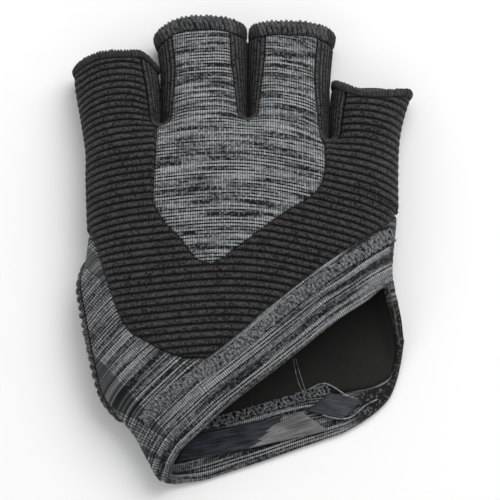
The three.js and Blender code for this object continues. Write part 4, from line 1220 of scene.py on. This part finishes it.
def padded_palm():
    columns = 16
    body_top = float(tall(0.925))
    roots = [float(tall(s[1])) for s in SLITS]
    last_root = max(roots)

    closing = [r - float(seam_inset(r)) - slit_gap for r in roots]
    levels = sorted(set(roots + closing))

    def edge(slit, hand, y):
        return slot_edge(slit, hand, y, seam_inset(y), SLITS[slit][0] * half_width)

    grids = []
    spread = 0.5 - 0.5 * np.cos(np.linspace(0, math.pi, columns))
    for finger in range(4):
        def left_x(y, finger=finger):
            return palm_side_x("left", y) if finger == 0 else edge(finger - 1, "right", y)

        def right_x(y, finger=finger):
            return palm_side_x("right", y) if finger == 3 else edge(finger, "left", y)

        rows = []

        def add(line, middle):
            a, b = left_x(np.array([middle]))[0], right_x(np.array([middle]))[0]
            for _ in range(20):
                a = mixed(a, left_x(np.array([line(a)]))[0], 0.5)
                b = mixed(b, right_x(np.array([line(b)]))[0], 0.5)
            x = mixed(a, b, spread)
            rows.append(surface(x, line(x) + 0 * x, -1))

        for t in np.concatenate([[0, 0.01, 0.025, 0.05], np.linspace(0.08, 1, 38)]):
            add(lambda x, t=t: mixed(heel_seam(x), body_top, t), body_top * 0.5)
        middle_levels = evenly(levels, 22)
        for y in sorted(set(middle_levels.tolist() + levels)):
            add(lambda x, y=y: y + 0 * x, y)
        tube = last_root + finger_length * 0.15
        centre = (left_x(np.array([tube]))[0] + right_x(np.array([tube]))[0]) / 2
        top = float(hem_line(finger, np.array([centre]), -1)[0])
        for t in np.linspace(0.08, 0.95, 12):
            add(lambda x, t=t: mixed(last_root, top, t) + 0 * x, last_root)
        add(lambda x: hem_line(finger, x, -1), top)
        point, normal = stacked(rows)
        uv = point[..., :2] * per_metre
        grids.append((point, normal, uv))
    return cloth("padded_palm", grids, palm_wall, 1.2 * mm, MATERIALS["foam"], "palm_panel")


def gusset(index):
    name = ["index_middle", "middle_ring", "ring_little"][index]
    x, at, _, _ = SLITS[index]
    root = float(tall(at))
    reach_back = [1, 0.66, 0.36, 0.14, 0.03]
    reach_palm = [0.1, 0.45, 1]

    def inset_at(y, share, side):
        whole = gusset_reach(index, y) if side > 0 else seam_inset(y)
        return max(float(whole) * share, least_inset)

    def at_side(finger, hand, station, share, side):
        out = -1 if hand == "left" else 1
        end = root + finger_length * 0.7
        for _ in range(6):
            end_x = slit_edge(index, end, hand) + out * inset_at(end, share, side)
            end = float(hem_line(finger, np.array([end_x]), side)[0])
        y = mixed(root, end, station)
        return slit_edge(index, y, hand) + out * inset_at(y, share, side), y

    def at_root(turn, share, side):
        radius = slit_gap + inset_at(root, share, side)
        angle = math.pi * (1 + turn)
        return x * half_width + radius * math.cos(angle), root + radius * math.sin(angle)

    shares = [(s, 1) for s in reach_back] + [(s, -1) for s in reach_palm]
    stations = np.linspace(0, 1, 9)
    rows = [[at_side(index, "left", k, s, side) for s, side in shares] for k in stations[::-1]]
    rows += [[at_root(turn, s, side) for s, side in shares] for turn in (0.25, 0.5, 0.75)]
    rows += [[at_side(index + 1, "right", k, s, side) for s, side in shares] for k in stations]
    plan = np.array(rows, float)
    sides = np.array([side for _, side in shares], float)
    point, normal = surface(plan[..., 0], plan[..., 1], sides)
    point, normal = refined(point, normal, 105, 43)
    y = point[..., 1]
    gap = slit_edge(index, y, "right") - slit_edge(index, y, "left")
    open_from = [tall(1.22), tall(9), tall(1.02)][index]
    closed = 1 - eased((y - open_from) / (9 * mm)) * [0.9, 0, 0.8][index]
    wide = np.exp(-(normal[..., 2] / 0.3) ** 2)
    bulge = wide * closed * (gap / 2 + 0.12 * mm) * eased((y - root + 1.5 * mm) / (2 * mm))
    uv = lengths_uv(point)
    ridge = 0.24 * mm * -np.cos(2 * math.pi * uv[..., 0] / 1.55)
    point = point + normal * (bulge + ridge)[..., None]
    # Painted shade: darker where the gusset turns to face sideways, deep in the slit between the fingers.
    valley_shade = 0.85 * np.exp(-(normal[..., 2] / 0.42) ** 2)
    return cloth(f"gusset_knit_{name}", [(point, normal, uv, valley_shade)], knit_wall, 1.0 * mm,
                 MATERIALS["gusset"], f"gusset_{name}")


def hem_ring(name, rows, roll, material, replaced):
    """A rim from rings of points, closed where their ends meet."""
    point, normal = stacked(rows)
    point[:, -1], normal[:, -1] = point[:, 0], normal[:, 0]
    return cloth(name, [(point, normal, lengths_uv(point))], hem_wall * 0.92, roll, material, replaced)


def finger_hem(finger):
    grey_hem = finger in (1, 2)
    height = RIMS[finger][4]
    turn = np.linspace(0, 2 * math.pi, 145)
    rows = []
    for share in np.linspace(0, 1, 11):
        point, normal = finger_point(finger, turn, share * height)
        swell = 0.34 * mm * math.sin(math.pi * share) ** 0.6
        swell = swell * (1 + np.minimum(0, normal[:, 2]))
        rows.append((point + normal * swell[:, None], normal))
    return hem_ring(f"rim_{FINGERS[finger]}", rows, 0.6 * mm, MATERIALS["gusset" if grey_hem else "core"],
                    f"hem_{FINGERS[finger]}")


def loop_over(rim, turn, run, offset, below, lift):
    """One loop over a rim: its path, the cloth's direction and the turn. Under the glove it lies flush."""
    angle = np.interp(offset % run[-1], run, turn)
    point, normal = rim(angle, below)
    flush = np.where(normal[:, 2] < -0.5, 0.1, 1)
    return point + normal * (lift * np.where(lift > 0, flush, 1))[:, None], normal, angle


def finger_loops(finger):
    """Slanted overlock loops over a finger rim, grey over the grey insert and black elsewhere."""
    grey_hem = finger in (1, 2)
    height = RIMS[finger][4]
    radius = (0.44 if grey_hem else 0.36) * mm
    turn = np.linspace(0, 2 * math.pi, 721)

    def rim(angle, below):
        return finger_point(finger, angle, below)

    middle, _ = rim(turn, height * 0.5)
    run = run_along(middle)
    count = int(run[-1] / ((1.42 if grey_hem else 0.9) * mm))
    lean = (1.9 if grey_hem else 0.5) * mm
    sets = {"grey": ([], [], []), "black": ([], [], [])}
    for k in range(count):
        start = (k + chance.uniform(-0.12, 0.12)) / count * run[-1]
        for over, sign in ((0.0, 1.0), (0.5, -0.25)):
            shares = np.array([1.03, 0.8, 0.5, 0.25, 0.07, 0.13])
            lift = np.array([0.0, 0.36, 0.5, 0.48, 0.1, -1.5]) * mm
            lift[:5] *= 1 if sign > 0 else 0.7
            offset = start + over * run[-1] / count + sign * lean * (1 - shares)
            path, normal, angle = loop_over(rim, turn, run, offset, shares * height, lift)
            path[4, 1] += chance.uniform(0.0, 0.16) * mm
            over_insert = grey_hem and 0.2 * math.pi < angle[2] < 0.8 * math.pi
            wanted = sets["grey" if over_insert else "black"]
            wanted[0].append(path)
            wanted[1].append(normal)
            wanted[2].append(radius * chance.uniform(0.65, 1.35) * (1 if sign > 0 else 0.75))
    pieces = []
    for colour, (paths, outwards, radii) in sets.items():
        if paths:
            pieces.append(stitched(f"overlock_{FINGERS[finger]}_{colour}", paths, outwards, radii,
                                   MATERIALS[f"{colour}_thread"]))
    return pieces


def hole_point(turn, margin):
    depth = np.where(np.cos(turn) > 0, hole_back_depth, hole_palm_depth) + margin
    y = tall(HOLE_AT) + (hole_length / 2 + margin) * np.sin(turn)
    return side_point("left", y, -side_seam_depth + depth * np.cos(turn))


def thumb_rim():
    turn = np.linspace(0, 2 * math.pi, 181)
    rows = []
    for share in np.linspace(0, 1, 9):
        point, normal = hole_point(turn, share * thumb_hem_width)
        swell = 0.3 * mm * math.sin(math.pi * share) * (1 + np.minimum(0, normal[:, 2]))
        rows.append((point + normal * swell[:, None], normal))
    return hem_ring("rim_thumb", rows, 1.0 * mm, MATERIALS["core"], "thumb_hem")


def thumb_loops():
    turn = np.linspace(0, 2 * math.pi, 1441)
    middle, _ = hole_point(turn, thumb_hem_width / 2)
    run = run_along(middle)
    count = int(run[-1] / (1.3 * mm))
    paths, outwards, radii = [], [], []
    for k in range(count):
        start = (k + chance.uniform(-0.15, 0.15)) / count * run[-1]
        for over, sign in ((0.0, 1.0), (0.5, -0.5)):
            shares = np.array([1.05, 0.8, 0.5, 0.2, -0.04, 0.06])
            lift = np.array([0.05, 0.35, 0.5, 0.45, 0.1, -1.6]) * mm
            lift[1:4] += 0.32 * mm * math.cos(2 * math.pi * start / (2.7 * mm))
            offset = start + over * run[-1] / count + sign * 1.1 * mm * (1 - shares)
            path, normal, _ = loop_over(hole_point, turn, run, offset, shares * thumb_hem_width, lift)
            paths.append(path)
            outwards.append(normal)
            radii.append(0.42 * mm * chance.uniform(0.8, 1.25))
    return stitched("overlock_thumb", paths, outwards, radii, MATERIALS["rim_thread"])


# Sewing on the band and inside the wrist.
COVER_ROW = np.array([
    (0.953, 0.683), (0.749, 0.608), (0.558, 0.551), (0.366, 0.485), (0.175, 0.417), (0.016, 0.359),
    (-0.112, 0.315), (-0.271, 0.272), (-0.405, 0.238), (-0.526, 0.196), (-0.621, 0.155),
])
INNER_ROW = np.array([
    (-0.755, 0.193), (-0.653, 0.164), (-0.494, 0.155), (-0.239, 0.175), (0.048, 0.211), (0.366, 0.251),
    (0.470, 0.268), (0.560, 0.272),
])
# Light cords inside the wrist, as shares.
CORDS = [
    [(0.417, 0.272), (0.526, 0.289), (0.679, 0.252), (0.762, 0.243)],
    [(0.456, 0.216), (0.551, 0.195), (0.679, 0.193), (0.781, 0.227), (0.864, 0.246)],
    [(0.322, 0.362), (0.352, 0.300), (0.405, 0.243)],
    [(0.338, 0.362), (0.385, 0.290), (0.425, 0.240)],
]


def plan_line(table):
    points = np.stack([table[:, 0] * half_width, tall(table[:, 1])], 1)
    keys = summed(np.hypot(*np.diff(points, axis=0).T))

    def at(run):
        return np.stack([smooth_value(keys, points[:, k], run) for k in range(2)], -1)
    return at, keys[-1]


def knotty_row(name, table, width, pitch, side, depth, material, radius):
    """A wide crinkled row of cover stitches: knots in lanes, with strands crossing between them."""
    at, length = plan_line(table)
    paths, outwards, radii = [], [], []
    steps = int(length / pitch)
    for k in range(steps):
        run = (k + 0.5) * pitch
        here, ahead = at(np.array(run)), at(np.array(min(run + 0.3 * mm, length)))
        along = (ahead - here) / max(np.linalg.norm(ahead - here), 1e-9)
        across = np.array([-along[1], along[0]])
        strands = []
        for lane in (-1, 0, 1):
            c = lane * width * 0.36 + chance.uniform(-0.15, 0.15) * mm
            a0 = chance.uniform(-0.3, 0.3) * pitch
            bend = chance.uniform(-0.5, 0.5) * mm
            reach = 0.45 * pitch
            strands.append([(a0 - reach, c - bend), (a0, c + bend * 0.4), (a0 + reach, c + bend)])
        cross = chance.choice([-1, 1])
        strands.append([(-0.5 * pitch, -cross * width * 0.45), (0, chance.uniform(-0.3, 0.3) * mm),
                        (0.5 * pitch, cross * width * 0.45)])
        for strand in strands:
            plan = np.array([here + along * a + across * c for a, c in strand])
            plan = smooth_path(np.concatenate([plan, np.zeros((3, 1))], 1))[:, :2]
            point, normal = surface(plan[:, 0], plan[:, 1], side)
            arch = np.sin(np.linspace(0.15, 0.85, STRAND_POINTS) * math.pi)
            lift = depth + (0.05 + 0.35 * arch * chance.uniform(0.6, 1.2)) * mm * side
            paths.append(point + normal * lift[:, None])
            outwards.append(normal * side)
            radii.append(radius * chance.uniform(0.7, 1.3))
    return stitched(name, paths, outwards, radii, material)


def patch(name, corners, lift, wall, material, jag=0.0, node=None):
    """A flat ribbon inside the palm. corners are shares: low left, low right, top left, top right."""
    low_left, low_right, top_left, top_right = [np.array(c) for c in corners]
    across = np.linspace(0, 1, 40)[:, None]
    rows = []
    for k, up in enumerate(np.linspace(0, 1, 17)):
        left, right = mixed(low_left, top_left, up), mixed(low_right, top_right, up)
        start = jag * ((k // 2) % 3 - 1)
        share = mixed(left, right, np.clip(across + start * (1 - across), -0.2, 1))
        point, normal = surface(share[:, 0] * half_width, tall(share[:, 1]), -1)
        wave = 0.1 * mm * np.sin(share[:, 0] * 14 + up * 4)
        rows.append((point - normal * (band_wall + lift + wave)[:, None], -normal))
    point, normal = stacked(rows)
    return cloth(name, [(point, normal, lengths_uv(point))], wall, 0.2 * mm, material, node)


def labels():
    """A blank satin label lies inside the wrist, dark with a paler end, and a folded tab beside it."""
    dark = patch("label_dark", [(-0.43, 0.067), (0.124, 0.115), (-0.347, 0.146), (0.252, 0.197)],
                 0.8 * mm, 0.3 * mm, MATERIALS["navy"], node="care_label")
    pale = patch("label_pale", [(0.062, 0.110), (0.545, 0.158), (0.190, 0.172), (0.374, 0.211)],
                 1.15 * mm, 0.25 * mm, MATERIALS["pale"], jag=0.05)
    tab = patch("label_tab", [(0.398, 0.210), (0.641, 0.190), (0.558, 0.264), (0.762, 0.241)],
                1.3 * mm, 0.3 * mm, MATERIALS["navy"])
    return dark, pale, tab


def inner_cords():
    """Pale cords along the tab's edges, and a loose thread across the foam."""
    paths, outwards, radii = [], [], []
    for number, table in enumerate(CORDS):
        at, length = plan_line(np.array(table))
        piece_length = 1.6 * mm
        for start in np.arange(0, length - piece_length, piece_length * 0.7):
            plan = at(start + np.linspace(0, piece_length, STRAND_POINTS))
            point, normal = surface(plan[:, 0], plan[:, 1], -1)
            depth = palm_wall + (0.75 if number < 2 else 0.1) * mm
            paths.append(point - normal * depth)
            outwards.append(-normal)
            radii.append((0.22 if number < 2 else 0.11) * mm * chance.uniform(0.8, 1.2))
    return stitched("inner_cords", paths, outwards, radii, MATERIALS["pale_thread"])


def build_glove():
    back = ribbed_back()
    insert = heather_insert()
    band, edge = wrist_band()
    fold = fold_thread(edge)
    palm = padded_palm()
    gussets = [gusset(i) for i in range(3)]
    rims = [finger_hem(i) for i in range(4)]
    loops = [finger_loops(i) for i in range(4)]
    rim = thumb_rim()
    thumb = thumb_loops()
    cover = knotty_row("cover_stitch", COVER_ROW, 3.4 * mm, 1.15 * mm, 1, 0.0, MATERIALS["band_thread"],
                       0.48 * mm)
    inner = knotty_row("inner_overlock", INNER_ROW, 3.0 * mm, 1.2 * mm, -1, -palm_wall - 0.1 * mm,
                       MATERIALS["band_thread"], 0.32 * mm)
    dark, pale, tab = labels()
    cords = inner_cords()
    for piece, seam, area in zip(rims, loops, (0.00023, 0.00038, 0.00036, 0.000235)):
        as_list(seam)


# Stage, light and camera.
def stage():
    bpy.ops.mesh.primitive_plane_add(size=6, location=(0, 0, -0.0002))
    floor = bpy.context.object
    floor.name = "floor"
    material = bpy.data.materials.new("white_paper")
    material.use_nodes = True
    tree = material.node_tree
    shader = tree.nodes["Principled BSDF"]
    shader.inputs["Roughness"].default_value = 0.9
    place = node(tree, "ShaderNodeTexCoord").outputs["Object"]
    tone = node(tree, "ShaderNodeTexNoise", {"Vector": place, "Scale": 3.0}).outputs[0]
    tree.links.new(blend_colour(tree, tone, grey(250), grey(253)), shader.inputs["Base Color"])
    floor.data.materials.append(material)

    def lamp(name, place, size, power):
        data = bpy.data.lights.new(name, "AREA")
        data.size, data.energy = size, power
        light = bpy.data.objects.new(name, data)
        light.location = place
        light.rotation_euler = (-Vector(place)).to_track_quat("-Z", "Y").to_euler()
        bpy.context.scene.collection.objects.link(light)

    lamp("key", (0.32, 0.42, 0.8), 0.8, 6.4)
    lamp("fill", (-0.6, -0.5, 0.7), 0.7, 1.0)
    world = bpy.data.worlds.new("studio")
    world.use_nodes = True
    world.node_tree.nodes["Background"].inputs[0].default_value = (1, 1, 1, 1)
    world.node_tree.nodes["Background"].inputs[1].default_value = 0.52
    bpy.context.scene.world = world
    bpy.context.scene.view_settings.view_transform = "Standard"


def camera():
    data = bpy.data.cameras.new("camera")
    data.sensor_width, data.lens = 36, 300
    eye = bpy.data.objects.new("camera", data)
    bpy.context.scene.collection.objects.link(eye)
    aim = Vector((2.2, -1.22, 13)) * mm
    back = Vector((0, -math.cos(math.radians(75)), math.sin(math.radians(75))))
    eye.location = aim + back * (72.5 * mm / (18 / 300))
    eye.rotation_mode = "QUATERNION"
    eye.rotation_quaternion = (-back).to_track_quat("-Z", "Y")
    data.clip_start, data.clip_end = 0.05, 20
    bpy.context.scene.camera = eye


camera()
stage()
build_glove()
